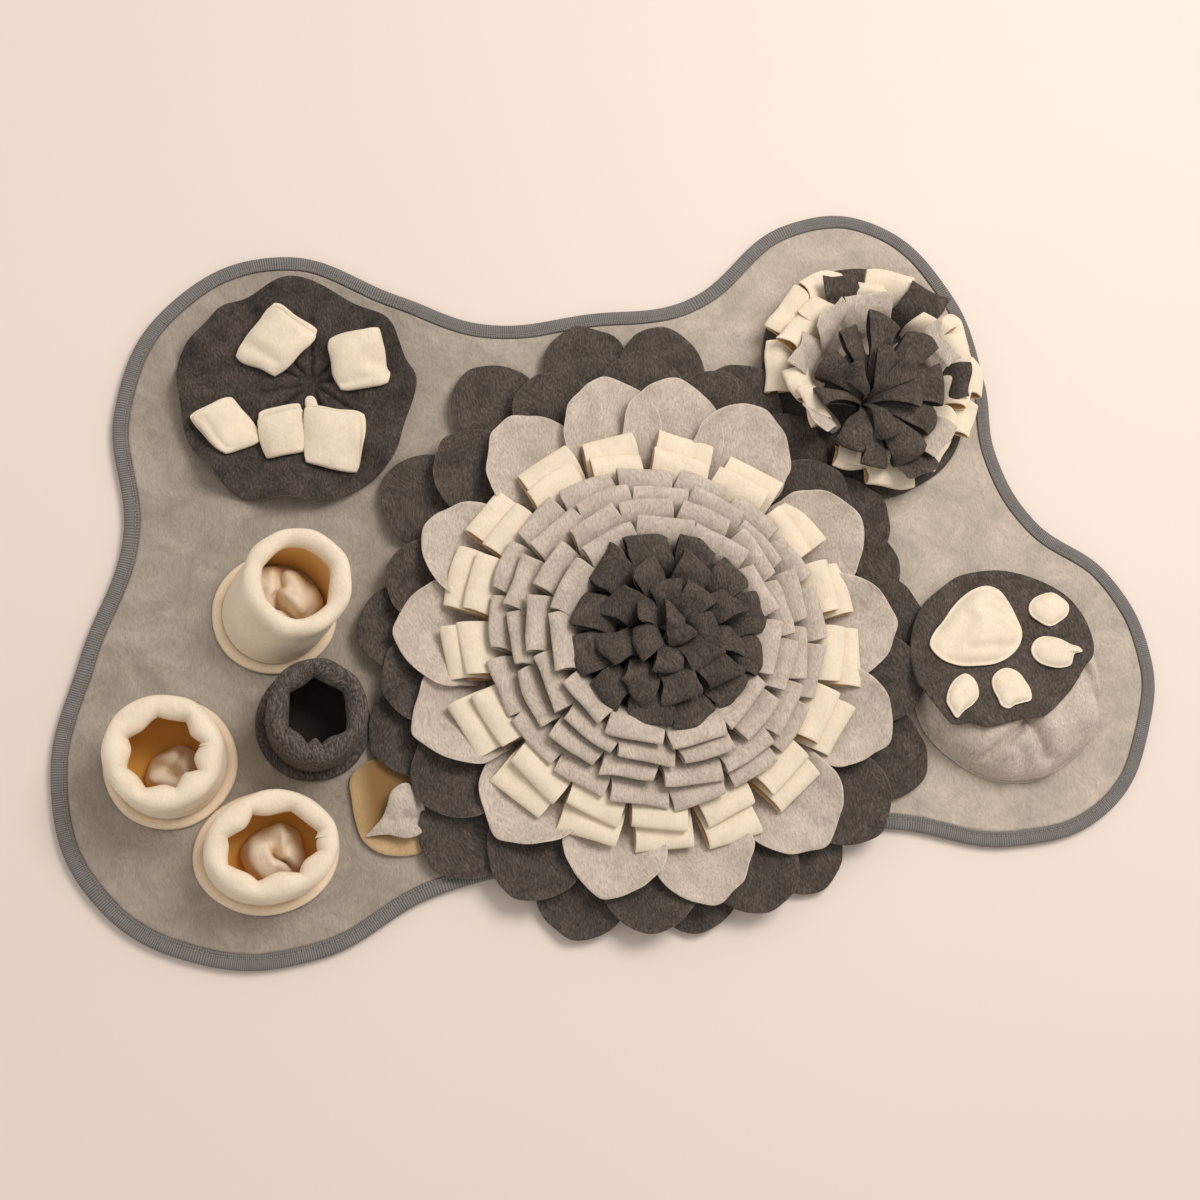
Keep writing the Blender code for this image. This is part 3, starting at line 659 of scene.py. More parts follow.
def new_tape():
    """Ribbed polyester tape: fine cross ribs that catch the light, dark grey, a little worn."""
    material, shader = new_material("ribbed polyester tape")
    along = add_node(material, "ShaderNodeUVMap", {}).outputs["UV"]
    place = add_node(material, "ShaderNodeTexCoord", {}).outputs["Object"]
    ribs = add_node(material, "ShaderNodeTexWave", {
        "Vector": along, "Scale": 2 * math.pi / RIB / 20, "Distortion": 0.6, "Detail": 1.0,
        "Detail Scale": 1.0,
    }, wave_type="BANDS", bands_direction="X", wave_profile="SIN").outputs["Fac"]
    worn = add_node(material, "ShaderNodeTexNoise", {
        "Vector": place, "Scale": 1 / WEAR, "Detail": 3.0, "Roughness": 0.6,
    }).outputs["Fac"]
    # the ribs' crests are painted paler than their grooves: painted light and shade on the ribs
    toned = add_node(material, "ShaderNodeMix", {
        0: ribs, 6: linear("5C5957"), 7: linear("86827F"),
    }, data_type="RGBA").outputs[2]
    shade = add_node(material, "ShaderNodeMapRange", {
        "Value": worn, "From Min": 0.3, "From Max": 0.7, "To Min": 0.90, "To Max": 1.08,
    }).outputs["Result"]
    colour = add_node(material, "ShaderNodeMix", {
        0: 1.0, 6: toned, 7: shade,
    }, data_type="RGBA", blend_type="MULTIPLY").outputs[2]
    raised = add_node(material, "ShaderNodeBump", {
        "Height": ribs, "Strength": 0.6, "Distance": 0.0004,
    }).outputs["Normal"]
    material.node_tree.links.new(colour, shader.inputs["Base Color"])
    material.node_tree.links.new(raised, shader.inputs["Normal"])
    shader.inputs["Roughness"].default_value = 0.75
    shader.inputs["Specular IOR Level"].default_value = 0.3
    shader.inputs["Sheen Weight"].default_value = 0.1
    return material


def measure_uv(piece, length, width):
    """Stretches a grid's UV map to metres along and across the cloth."""
    layer = piece.data.uv_layers.active.data
    shares = np.empty(len(layer) * 2)
    layer.foreach_get("uv", shares)
    shares = shares.reshape(-1, 2) * (length, width)
    layer.foreach_set("uv", shares.ravel())


tape = cloth_grid("binding_tape", len(outline), len(TAPE_SECTION), tape_place)
tape_width = 2 * BINDING_WIDTH + BINDING_TOP
measure_uv(tape, outline_marks[-1], 2 * tape_width)
weld(tape, 0.00001)
face_outwards(tape)
bpy.ops.object.shade_smooth_by_angle(angle=math.radians(50))
tape.data.materials.append(new_tape())

# %% [markdown]
# ## The seam
#
# One row of machine stitches holds the tape down near its inner edge. A stitch is a short thin cylinder
# whose far end dips a little. An Array modifier repeats it to the length of a line along the seam, and a
# Curve modifier lays the row on that line.

# %% Stitches
STITCH = 0.0032
STITCH_SPACING = 0.0041
STITCH_INSET = 0.0091
SEAM_HEIGHT = 0.0073
THREAD_RADIUS = 0.00042
THREAD_TWIST = 0.0012
END_DIP = 0.0002
# twisted polyester thread: satiny, paler where its twist catches the light
thread, thread_shader = new_material("twisted polyester thread")
spun = add_node(thread, "ShaderNodeTexNoise", {
    "Vector": add_node(thread, "ShaderNodeTexCoord", {}).outputs["Object"], "Scale": 1 / THREAD_TWIST,
})
tint = add_node(thread, "ShaderNodeMix", {
    0: spun.outputs["Fac"], 6: linear("77716B"), 7: linear("9C958E"),
}, data_type="RGBA")
thread.node_tree.links.new(tint.outputs[2], thread_shader.inputs["Base Color"])
thread_shader.inputs["Roughness"].default_value = 0.7

seam = bpy.data.curves.new("seam", "CURVE")
seam.dimensions = "3D"
spline = seam.splines.new("POLY")
spline.points.add(len(outline) - 1)
spline.use_cyclic_u = True
for knot, (x, y) in zip(spline.points, outline + inwards * STITCH_INSET):
    knot.co = (x, y, SEAM_HEIGHT, 1)
seam_line = bpy.data.objects.new("seam", seam)
bpy.context.collection.objects.link(seam_line)

bpy.ops.mesh.primitive_cylinder_add(
    vertices=6, radius=THREAD_RADIUS, depth=STITCH, end_fill_type="NOTHING")
stitches = bpy.context.object
stitches.name = "stitches"
shape = vertices_of(stitches)
laid = np.column_stack((shape[:, 2] + STITCH / 2, shape[:, 0], shape[:, 1] - END_DIP * (shape[:, 2] > 0)))
move_vertices(stitches, laid)
repeat = stitches.modifiers.new("repeat", "ARRAY")
repeat.fit_type = "FIT_CURVE"
repeat.curve = seam_line
repeat.use_relative_offset = False
repeat.use_constant_offset = True
repeat.constant_offset_displace = (STITCH_SPACING, 0, 0)
follow = stitches.modifiers.new("follow", "CURVE")
follow.object = seam_line
follow.deform_axis = "POS_X"
select_only(stitches)
bpy.ops.object.modifier_apply(modifier="repeat")
bpy.ops.object.modifier_apply(modifier="follow")
bpy.ops.object.shade_smooth()
stitches.data.materials.append(thread)
bpy.data.objects.remove(seam_line)
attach(stitches, "root")
seat(tape, "ribbed_tape", "edge_binding")
print(f"stitches {STITCH_SPACING * 1000:.1f} mm apart, {len(stitches.data.polygons)} faces")

# %% [markdown]
# ## Petals
#
# Each row of petals is one strip with bluntly pointed teeth, sewn down in a ring. A petal is a scoop: its
# sides rise, and soft creases run out from its foot. Where petals overlap, each lies with one side over
# its neighbour's, so every petal is tilted a little the same way. A square grid is bent to the petal's
# outline with the mapping that turns a square into a disc, so that no faces bunch up at the tip.

# %% Petal rows
ON_MAT = PAD_TOP + GAP + FLEECE / 2  # middle of a layer that lies on the mat
ON_DISC = ON_MAT + FLEECE + GAP  # middle of a layer that lies on a disc on the mat
OVER_BINDING = BINDING_TOP + GAP + FLEECE / 2  # middle of a layer that lies over the binding
PETALS_DARK_LOW = (  # angle in degrees, reach from the flower's middle, rise of the tip
    (17, 0.226, 0.005), (40, 0.218, 0.006), (56, 0.232, 0.006), (76, 0.243, 0.004), (93, 0.245, 0.003),
    (116, 0.240, 0.004), (144, 0.228, 0.004), (176, 0.222, 0.008), (199, 0.235, 0.004),
    (222, 0.254, 0.003), (248, 0.254, -0.002), (271, 0.247, -0.003), (295, 0.252, -0.002),
    (322, 0.255, 0.002), (352, 0.230, 0.003),
)
PETALS_DARK_HIGH = (  # angle in degrees, reach, rise of the tip
    (6, 0.215, 0.013), (28, 0.205, 0.014), (62, 0.220, 0.013), (81, 0.223, 0.012), (104, 0.216, 0.012),
    (130, 0.212, 0.013), (162, 0.205, 0.014), (187, 0.211, 0.013), (210, 0.223, 0.012),
    (235, 0.235, 0.010), (261, 0.238, 0.010), (284, 0.240, 0.010), (310, 0.243, 0.010),
    (339, 0.227, 0.014),
)
PETALS_LIGHT = (  # angle in degrees, reach, rise of the tip
    (22, 0.198, 0.018), (54, 0.211, 0.016), (74, 0.212, 0.016), (91, 0.210, 0.018),
    (115, 0.204, 0.015), (147, 0.193, 0.017), (172, 0.198, 0.016), (195, 0.198, 0.018),
    (224, 0.196, 0.016), (250, 0.205, 0.016), (273, 0.209, 0.016), (301, 0.208, 0.016),
    (329, 0.203, 0.016), (355, 0.198, 0.016),
)
PETAL_RINGS = (  # foot is the radius of the ring along which the petals are sewn down
    dict(node="petals_dark_low", cloth="charcoal_fleece", centre=(0.024, -0.0500), foot=0.174,
         foot_height=OVER_BINDING, half_width=0.037, side_rise=0.0030, tilt=0.0014, point=0.10,
         crease_share=0.6, teeth=PETALS_DARK_LOW),
    dict(node="petals_dark_high", cloth="charcoal_fleece", centre=(0.024, -0.0565), foot=0.150,
         foot_height=OVER_BINDING, half_width=0.037, side_rise=0.0040, tilt=0.0018, point=0.12,
         crease_share=1.2, teeth=PETALS_DARK_HIGH),
    dict(node="petals_light", cloth="light_grey_fleece", centre=(0.025, -0.0680), foot=0.131,
         foot_height=ON_MAT, half_width=0.0410, side_rise=0.0082, tilt=0.0036, point=0.20,
         crease_share=1.6, teeth=PETALS_LIGHT),
)
PETAL_COLUMNS = 14
PETAL_ROWS = 16
PETAL_CREASES = 3
CREASE_DEPTHS = (0.0015, 0.0030)
CREASE_WIDTHS = (0.12, 0.22)  # as shares of the petal's half width
CREASE_REACHES = (0.70, 1.10)  # as shares of the petal's length
TIP_CURLS = (-0.0012, 0.0016)  # the tip's last quarter curls down or up by as much
RIM_FLUTTER = 0.0007
PETAL_WAVE = 0.030  # the cloth's own waves are about this long and high
PETAL_WAVE_HEIGHT = 0.0007


def petal_outline(a, b, foot, reach, half_width, point):
    """How far out and how far aside a square's point a, b lies once the square is bent to a petal."""
    outer = np.clip(b, 0, 1)
    middle = reach - half_width * (0.92 + 0.55 * point)  # radius at which the petal is widest
    # beyond it the square becomes half a disc, and towards the foot the sides draw in a little
    forwards = np.where(b > 0, outer * np.sqrt(1 - a**2 / 2), b)
    across = a * np.where(b > 0, np.sqrt(1 - outer**2 / 2), 1 - 0.10 * b**2)
    # the half disc is made narrower and its middle is drawn out, which gives the blunt point
    across = across * (1 - point * np.clip(forwards, 0, 1) ** 2)
    forwards = forwards + 0.30 * point * outer**3 * np.exp(-((a / 0.35) ** 2))
    radius = np.where(b > 0, middle + forwards * (reach - middle), middle + b * (middle - foot))
    return radius, across * half_width


def petal_height(a, share, rise, foot_height, side_rise, tilt, crease_share, chance):
    """A petal's level at a across it and at that share of its length."""
    lift = np.interp(share, (0, 0.28, 0.78, 1.0), (0, 0.40 * max(rise, 0), 0.85 * rise, rise))
    sides = side_rise * a**2 * np.sin(np.pi * np.clip(share, 0, 1)) ** 0.7
    height = foot_height + tilt + lift + sides + tilt * a * (0.6 + 0.4 * share)
    creases = []
    for _ in range(PETAL_CREASES):
        line = chance.uniform(-0.75, 0.75)
        aside = chance.uniform(-0.5, 0.5)
        depth = chance.uniform(*CREASE_DEPTHS) * crease_share
        width = chance.uniform(*CREASE_WIDTHS)
        reach_out = chance.uniform(*CREASE_REACHES)
        trough = np.exp(-(((a - line - aside * share) / width) ** 2))
        fading = np.clip(1 - (share / reach_out) ** 2, 0, 1) * np.clip(share * 6, 0, 1)
        creases.append(depth * trough * fading)
    height = height - np.max(creases, axis=0)
    curl = chance.uniform(*TIP_CURLS) * np.clip(share - 0.75, 0, 1) * 4
    flutter = RIM_FLUTTER * np.sin(a * chance.uniform(3, 6) + chance.uniform(0, 6)) * share
    return height + curl + flutter


def make_petals(node, cloth, centre, foot, foot_height, half_width, side_rise, tilt, point,
                crease_share, teeth, seed):
    petals = []
    chance = random.Random(seed)
    for heading, reach, rise in teeth:
        angle = math.radians(heading)
        wide = half_width * chance.uniform(0.96, 1.05)

        def place(u, v):
            a = 2 * u - 1
            radius, side = petal_outline(a, 2 * v - 1, foot, reach, wide, point)
            share = (radius - foot) / (reach - foot)
            height = petal_height(a, share, rise, foot_height, side_rise, tilt, crease_share, chance)
            nicked = side * (1 + 0.006 * np.sin(u * 37 + heading) * np.sin(v * 29))
            return (
                centre[0] + radius * math.cos(angle) - nicked * math.sin(angle),
                centre[1] + radius * math.sin(angle) + nicked * math.cos(angle),
                height,
            )

        petals.append(cloth_grid("petal", PETAL_COLUMNS, PETAL_ROWS, place))
    row = join(node + "_cloth", petals)
    lowest = vertices_of(row)
    spots = wander(lowest, PETAL_WAVE, PETAL_WAVE_HEIGHT, seed)
    spots[:, 2] = np.maximum(spots[:, 2], np.minimum(lowest[:, 2], foot_height))
    move_vertices(row, spots)
    thicken(row, cloth)
    seat(row, cloth, node)
    length = sum(reach - foot for _, reach, _ in teeth) / len(teeth)


for number, ring in enumerate(PETAL_RINGS):
    make_petals(**ring, seed=20 + number)

# %% [markdown]
# ## Folded strip loops
#
# A loop row is a long strip, slit into wide tongues. Each tongue is folded over and both its ends are
# sewn down, so the fold stands up and leans outwards. Seen from above, each row hides the feet of the
# next. A loop is one grid that follows the side view of the strip: up its lower leg, round the fold and
# back along its upper leg. Four things make each differ: its turn, its bow, its twist and its length.

# %% Loop rows
LOOP_RINGS = (  # node, cloth, loops, centre x, y, foot radius, reach, height, half width, first angle
    ("loops_cream_low", "cream_fleece", 17, 0.026, -0.071, 0.119, 0.162, 0.027, 0.0225, 8),
    ("loops_cream_high", "cream_fleece", 17, 0.026, -0.071, 0.110, 0.147, 0.035, 0.0220, 8),
    ("loops_grey_1", "light_grey_fleece", 17, 0.026, -0.071, 0.097, 0.131, 0.042, 0.0215, 0),
    ("loops_grey_2", "light_grey_fleece", 15, 0.026, -0.071, 0.083, 0.116, 0.050, 0.0215, 8),
    ("loops_grey_3", "light_grey_fleece", 13, 0.027, -0.071, 0.068, 0.101, 0.058, 0.0215, 4),
    ("loops_grey_4", "light_grey_fleece", 11, 0.027, -0.072, 0.052, 0.087, 0.065, 0.0220, 16),
)
LOOP_FOOT = 0.003  # how far apart the two feet of a loop are sewn down
LOOP_COLUMNS = 6
LOOP_PATH_ROWS = 20
FOLD_CROWDING = 0.60  # how much closer together the rows lie at the fold than at the feet
LOOP_GAPS = {"cream_fleece": (0.0060, 0.0085), "light_grey_fleece": (0.0036, 0.0052)}  # inside the fold
LOOP_WAVE = 0.026  # the cloth's own waves are about this long and high
LOOP_WAVE_HEIGHTS = {"cream_fleece": 0.0006, "light_grey_fleece": 0.0009}
SPINE = ((0.0, 0.0), (0.18, 0.44), (0.46, 0.79), (0.76, 0.955), (1.0, 1.0))  # shares of run and rise


def fold_line(foot, reach, height, gap, arch, base, spine=SPINE):
    """Side view of a folded strip, as radius and height, from the lower leg's foot to the upper's.

    Both legs follow a spine that rises steeply and then lies out nearly level.
    """
    middle = np.array(spine) * (reach - foot, height - base) + (foot, base)
    ahead = np.gradient(middle, axis=0)
    ahead /= np.linalg.norm(ahead, axis=1)[:, None]
    above = np.column_stack((-ahead[:, 1], ahead[:, 0])) * gap / 2
    under = middle - above * np.array((0.0, 0.6, 0.9, 1.0, 0.8))[:, None]
    over = middle + above * np.array((0.0, 0.9, 1.1, 1.1, 0.85))[:, None]
    over[2:4, 1] += arch
    tip = middle[-1] + ahead[-1] * 0.40 * gap
    return (*under[:4], under[4] - ahead[-1] * 0.15 * gap, tip, over[4] - ahead[-1] * 0.15 * gap,
            *over[3:0:-1], (foot - LOOP_FOOT, base))


def ribbon(centre, angle, line, half_width, yaw=0.0, bow=0.0, twist=0.0, flare=0.0, pinch=0.0,
           columns=LOOP_COLUMNS, rows=LOOP_PATH_ROWS, crowding=FOLD_CROWDING):
    """A strip whose length follows the line out from the centre and whose width lies across it.

    yaw turns it about its tip, bow draws its sides back, twist lifts one side and lowers the other,
    flare lifts both sides, and pinch narrows its feet.
    """
    line = np.asarray(line, dtype=float)

    def place(u, v):
        a = np.interp(u, (0, 1 / columns, 1 - 1 / columns, 1), (-1, -0.95, 0.95, 1))
        shares = v + crowding * np.sin(2 * math.pi * v) / (2 * math.pi)
        path = smooth_line(line, shares)
        out = (path[:, 0] - line[0, 0]) / max(line[:, 0].max() - line[0, 0], 1e-6)
        out = np.clip(out, 0, 1)
        side = a * half_width * (1 - pinch * (1 - out))
        radius = path[:, 0] - bow * a**2 * out + side * math.tan(yaw) * out
        height = path[:, 1] + (twist * a + flare * a**2) * out
        return (
            centre[0] + radius * math.cos(angle) - side * math.sin(angle),
            centre[1] + radius * math.sin(angle) + side * math.cos(angle),
            height,
        )

    return cloth_grid("strip", columns, rows, place)


def finish_strips(node, cloth, strips, size, amount, seed, paint_fold_shade=True):
    """The unevenness is waves about size long and amount high.
    """
    row = join(node + "_cloth", strips)
    move_vertices(row, wander(vertices_of(row), size, amount, seed))
    thicken(row, cloth, paint_fold_shade=paint_fold_shade)
    seat(row, cloth, node)


def make_loops(node, cloth, count, x, y, foot, reach, height, half_width, first, uneven, seed):
    chance = random.Random(seed)
    loops = []
    for number in range(count):
        angle = math.radians(first + 360 / count * (number + uneven.uniform(-0.05, 0.05)))
        far = reach + uneven.uniform(-0.0025, 0.0020)
        high = height + uneven.uniform(-0.0015, 0.0010)
        gap = chance.uniform(*LOOP_GAPS[cloth])
        line = fold_line(foot, far, high, gap, chance.uniform(0.0, 0.0014), ON_MAT)
        wide = half_width * chance.uniform(0.92, 1.05)
        loops.append(ribbon(
            (x, y), angle, line, wide, yaw=math.radians(chance.uniform(-6, 6)),
            bow=chance.uniform(-0.0006, 0.0022), twist=chance.uniform(-0.0022, 0.0022),
            flare=chance.uniform(-0.0012, 0.0006)))
    finish_strips(node, cloth, loops, LOOP_WAVE, LOOP_WAVE_HEIGHTS[cloth], seed)


uneven = random.Random(3)
for number, ring in enumerate(LOOP_RINGS):
    make_loops(*ring, uneven=uneven, seed=40 + number)

# %% [markdown]
# ## The charcoal tuft
#
# The middle of the flower is a crowd of folded charcoal strips that lean every way and hide their feet.
# The outer ones lie out flat, and the next stand higher. In the middle a few are pinched at their feet
# and folded over the very centre. A table gives each its own heading, reach, height, width and turn.

# %% Tuft
TUFT_CENTRE = (0.030, -0.074)
TUFT_OUTER = (  # heading in degrees, foot radius, reach, height, half width, turn in degrees, twist
    (4, 0.036, 0.073, 0.067, 0.016, -8, 0.004), (33, 0.034, 0.071, 0.070, 0.015, 12, -0.005),
    (62, 0.036, 0.075, 0.068, 0.016, -5, 0.004), (95, 0.036, 0.074, 0.070, 0.018, 8, 0.003),
    (126, 0.036, 0.072, 0.067, 0.015, -14, -0.005), (158, 0.034, 0.070, 0.069, 0.016, 16, 0.006),
    (188, 0.036, 0.074, 0.067, 0.016, -10, 0.003), (216, 0.036, 0.073, 0.069, 0.014, 10, -0.004),
    (247, 0.036, 0.072, 0.066, 0.017, -6, 0.004), (276, 0.036, 0.075, 0.066, 0.018, 6, -0.003),
    (306, 0.034, 0.071, 0.068, 0.015, -16, 0.005), (336, 0.034, 0.073, 0.067, 0.016, 14, -0.004),
    (18, 0.022, 0.055, 0.075, 0.0125, -18, -0.005), (60, 0.022, 0.057, 0.077, 0.0140, 12, 0.005),
    (104, 0.020, 0.054, 0.079, 0.0125, -20, 0.006), (146, 0.020, 0.050, 0.076, 0.0125, 26, -0.007),
    (190, 0.020, 0.055, 0.077, 0.0130, -14, 0.006), (230, 0.022, 0.056, 0.074, 0.0140, 18, -0.004),
    (268, 0.020, 0.053, 0.075, 0.0140, -12, 0.005), (308, 0.020, 0.055, 0.077, 0.0125, 20, 0.004),
    (342, 0.020, 0.053, 0.075, 0.0115, -24, -0.006),
)
TUFT_INNER = (  # the same, in the middle
    (42, 0.006, 0.036, 0.084, 0.0140, -12, 0.004), (92, 0.006, 0.034, 0.082, 0.0125, 16, -0.005),
    (142, 0.006, 0.030, 0.081, 0.0115, -28, 0.006), (200, 0.006, 0.033, 0.083, 0.0130, 20, 0.005),
    (254, 0.006, 0.033, 0.079, 0.0135, -14, -0.005), (306, 0.006, 0.035, 0.081, 0.0130, 18, 0.004),
    (352, 0.006, 0.034, 0.079, 0.0120, -20, 0.005), (75, -0.008, 0.012, 0.084, 0.0100, 25, 0.004),
    (300, -0.008, 0.012, 0.082, 0.0105, 20, 0.004),
)
TUFT_SPINE = ((0.0, 0.0), (0.10, 0.50), (0.34, 0.86), (0.68, 0.985), (1.0, 1.0))
TUFT_SINK = 0.004  # a fold's middle lies this much under the table's height
TUFT_TWIST = 1.3
TUFT_WAVE = 0.024
TUFT_WAVE_HEIGHT = 0.0013


def make_tuft(node, teeth, pinch, seed):
    chance = random.Random(seed)
    strips = []
    for heading, foot, reach, height, half_width, turn, twist in teeth:
        line = fold_line(
            foot, reach, height - TUFT_SINK, chance.uniform(0.0055, 0.0090), chance.uniform(0, 0.003),
            ON_MAT, TUFT_SPINE)
        strips.append(ribbon(
            TUFT_CENTRE, math.radians(heading), line, half_width, yaw=math.radians(turn),
            bow=chance.uniform(-0.001, 0.004), twist=TUFT_TWIST * twist, flare=chance.uniform(-0.004, 0.001),
            pinch=pinch, columns=8, rows=20))
    finish_strips(node, "charcoal_fleece", strips, TUFT_WAVE, TUFT_WAVE_HEIGHT, seed)


make_tuft("tuft_outer", TUFT_OUTER, pinch=0.15, seed=46)
make_tuft("tuft_inner", TUFT_INNER, pinch=0.45, seed=47)

# %% [markdown]
# ## Round sheets
#
# The face's disc, the pompom's disc, the paw and its pouch are round or rounded cloths. `cloth_disc` is a
# grid bent into rings about a middle: u runs round it and v runs out from the middle to an outline.
# The outline is a smooth closed line through a few given points.


# %% Round cloths
def closed_line(points, shares):
    """Points at those shares of the way round the smooth closed line through the given ones."""
    points = np.asarray(points, dtype=float)
    count = len(points)
    wrapped = np.concatenate((points[-2:], points, points[:3]))
    steps = np.linalg.norm(np.diff(wrapped, axis=0), axis=1)
    marks = np.concatenate(([0.0], np.cumsum(steps)))
    start, end = marks[2], marks[2 + count]
    return smooth_line(wrapped, (start + (np.asarray(shares) % 1.0) * (end - start)) / marks[-1])


def cloth_disc(name, centre, edge, height, columns, rows, crowding=0.85):
    """A round sheet: edge(u) gives its rim's x and y, and height(x, y, u, share) its level."""

    def place(u, v):
        rim = edge(u)
        share = v**crowding
        x = centre[0] + (rim[:, 0] - centre[0]) * share
        y = centre[1] + (rim[:, 1] - centre[1]) * share
        return x, y, height(x, y, u, share)

    piece = cloth_grid(name, columns, rows, place)
    weld(piece, 0.00002)
    return piece


def oval(centre, radii, ripple=0.0, waves=5, seed=1):
    """An edge function: an oval whose radius ripples a little."""
    chance = np.random.default_rng(seed)
    phases = chance.uniform(0, 2 * math.pi, 3)

    def edge(u):
        angle = 2 * math.pi * u
        swell = np.sin(waves * angle + phases[0]) + 0.6 * np.sin((waves + 3) * angle + phases[1])
        size = 1 + ripple * (swell + 0.5 * np.sin(2 * angle + phases[2]))
        return np.column_stack((
            centre[0] + radii[0] * size * np.cos(angle), centre[1] + radii[1] * size * np.sin(angle)))

    return edge


def crease(x, y, start, end, depth, width):
    """Depth of a soft trough along the line from start to end, fading out at both ends."""
    run = np.subtract(end, start)
    length = math.hypot(*run)
    along = ((x - start[0]) * run[0] + (y - start[1]) * run[1]) / length
    across = ((x - start[0]) * run[1] - (y - start[1]) * run[0]) / length
    beyond = np.maximum(np.maximum(-along, along - length), 0)
    return depth * np.exp(-((across / width) ** 2) - (beyond / width) ** 2)


print("round cloth helpers ready")

# %% [markdown]
# ## The face
#
# A charcoal disc is gathered to a point a little off its middle, so creases run out from there and its
# rim stands in waves like a flounce. Five cream cloths, each folded double, are sewn on it: two eyes and
# three pieces of a smile. They are soft and puffed, and no two lie alike.

# %% Face disc
FACE_CENTRE = (-0.219, 0.160)
FACE_GATHER = (-0.206, 0.168)
FACE_RADIUS = 0.092
FACE_WAVES = 8
FACE_WAVE_HEIGHT = 0.015
FACE_PUFF = 0.0045  # how high the cloth is puffed round the gather
GATHER_DEPTH = 0.0040
GATHER_WIDTH = 0.0022
GATHER_DIMPLE = 0.0035
GATHER_CREASES = (  # heading in degrees round the gather, reach
    (2, 0.050), (38, 0.024), (84, 0.052), (122, 0.030), (148, 0.058), (186, 0.060), (214, 0.036),
    (246, 0.030), (282, 0.052), (318, 0.048),
)


def face_edge(u):
    angle = 2 * math.pi * u
    ripple = 0.022 * np.sin(5 * angle + 0.6) + 0.016 * np.sin(9 * angle + 2.0) + 0.012 * np.sin(2 * angle)
    radius = FACE_RADIUS * (0.985 + ripple)
    return np.column_stack((
        FACE_CENTRE[0] + radius * np.cos(angle), FACE_CENTRE[1] + radius * np.sin(angle)))


def face_level(x, y):
    """The gathered disc without its fine creases: a puffed middle and a waving flounce."""
    away = np.hypot(x - FACE_CENTRE[0], y - FACE_CENTRE[1]) / FACE_RADIUS
    angle = np.arctan2(y - FACE_CENTRE[1], x - FACE_CENTRE[0])
    shift = 2.2 + 0.9 * np.sin(2 * angle) + 0.5 * np.sin(3 * angle + 1)
    wave = 0.5 + 0.5 * np.sin(FACE_WAVES * angle + shift)
    small = 0.5 + 0.5 * np.sin((2 * FACE_WAVES - 3) * angle + 1.3 * np.sin(2 * angle + 0.8))
    out = np.clip((away - 0.36) / 0.64, 0, 1.1)
    flounce = FACE_WAVE_HEIGHT * (out**1.5 * wave + 0.42 * out**2.2 * small)
    gathered = np.hypot(x - FACE_GATHER[0], y - FACE_GATHER[1])
    return ON_MAT + 0.0002 + flounce + FACE_PUFF * np.exp(-((gathered / 0.046) ** 4))


def face_height(x, y, u, share):
    height = face_level(x, y)
    for heading, reach in GATHER_CREASES:
        turn = math.radians(heading)
        end = (FACE_GATHER[0] + reach * math.cos(turn), FACE_GATHER[1] + reach * math.sin(turn))
        height = height - crease(x, y, FACE_GATHER, end, GATHER_DEPTH, GATHER_WIDTH)
    gathered = np.hypot(x - FACE_GATHER[0], y - FACE_GATHER[1])
    height = height - GATHER_DIMPLE * np.exp(-((gathered / 0.004) ** 2))
    return np.maximum(height, ON_MAT)


# the same charcoal fleece a shade darker, as painted shade: the face lies on the mat's shaded left side
CLOTHS["charcoal_painted_shade"] = [
    new_fleece("charcoal fleece, painted shade", "443D38", "57504A", "322D29", 0.9, 0.28),
    *CLOTHS["charcoal_fleece"][1:],
]
face = cloth_disc("face_disc_cloth", FACE_GATHER, face_edge, face_height, 144, 48)
thicken(face, "charcoal_painted_shade", smooth_levels=0)
seat(face, "charcoal_fleece", "face_disc")

# %% [markdown]
# ## The face's cloths
#
# Each is folded double, with the fold at its near end and a soft puff between its layers. One grid runs
# along the under layer, round the fold and back along the upper one. It lies on the disc's waves, so its
# level starts from theirs. Creases and skew make each one its own. The last one's corner is curled up.

# %% Face tabs
FACE_TABS = (  # a crease is given by where it starts and ends, side and along, and its depth and width
    dict(node="eye_left", x=-0.229, y=0.202, width=0.040, length=0.050, heading=-38, rise=0.012,
         far_width=1.10, puff=0.0055, skew=0.16, top_end=0.90, shift=0.02,
         creases=((-0.9, 0.22, 0.5, 0.20, 0.0030, 0.07), (0.55, 0.95, 0.45, 0.55, 0.0020, 0.06),
                  (-0.3, 0.90, 0.5, 0.88, 0.0026, 0.08))),
    dict(node="eye_right", x=-0.168, y=0.181, width=0.043, length=0.045, heading=3, rise=0.007,
         far_width=0.98, puff=0.0055, skew=0.00, top_end=0.97, shift=0.00,
         creases=((0.2, 0.45, 0.95, 0.28, 0.0036, 0.10), (-0.8, 0.10, 0.3, 0.14, 0.0018, 0.06))),
    dict(node="mouth_left", x=-0.2755, y=0.137, width=0.035, length=0.041, heading=24, rise=0.008,
         far_width=1.02, puff=0.0040, skew=-0.20, top_end=0.95, shift=0.05,
         creases=((-0.70, 0.10, -0.62, 0.80, 0.0026, 0.05), (0.6, 0.6, 0.9, 0.1, 0.0022, 0.12))),
    dict(node="mouth_middle", x=-0.2335, y=0.130, width=0.035, length=0.037, heading=6, rise=0.006,
         far_width=1.00, puff=0.0040, skew=0.10, top_end=0.84, shift=0.00,
         creases=((0.62, 0.10, 0.72, 0.85, 0.0020, 0.06),)),
    dict(node="mouth_right", x=-0.194, y=0.119, width=0.043, length=0.046, heading=-16, rise=0.010,
         far_width=1.04, puff=0.0040, skew=0.00, top_end=0.92, shift=-0.13,
         creases=((0.45, 0.95, 0.55, 0.45, 0.0014, 0.05),)),
)
TAB_FLEECE = 0.0022
TAB_LAYER_GAP = 0.0040
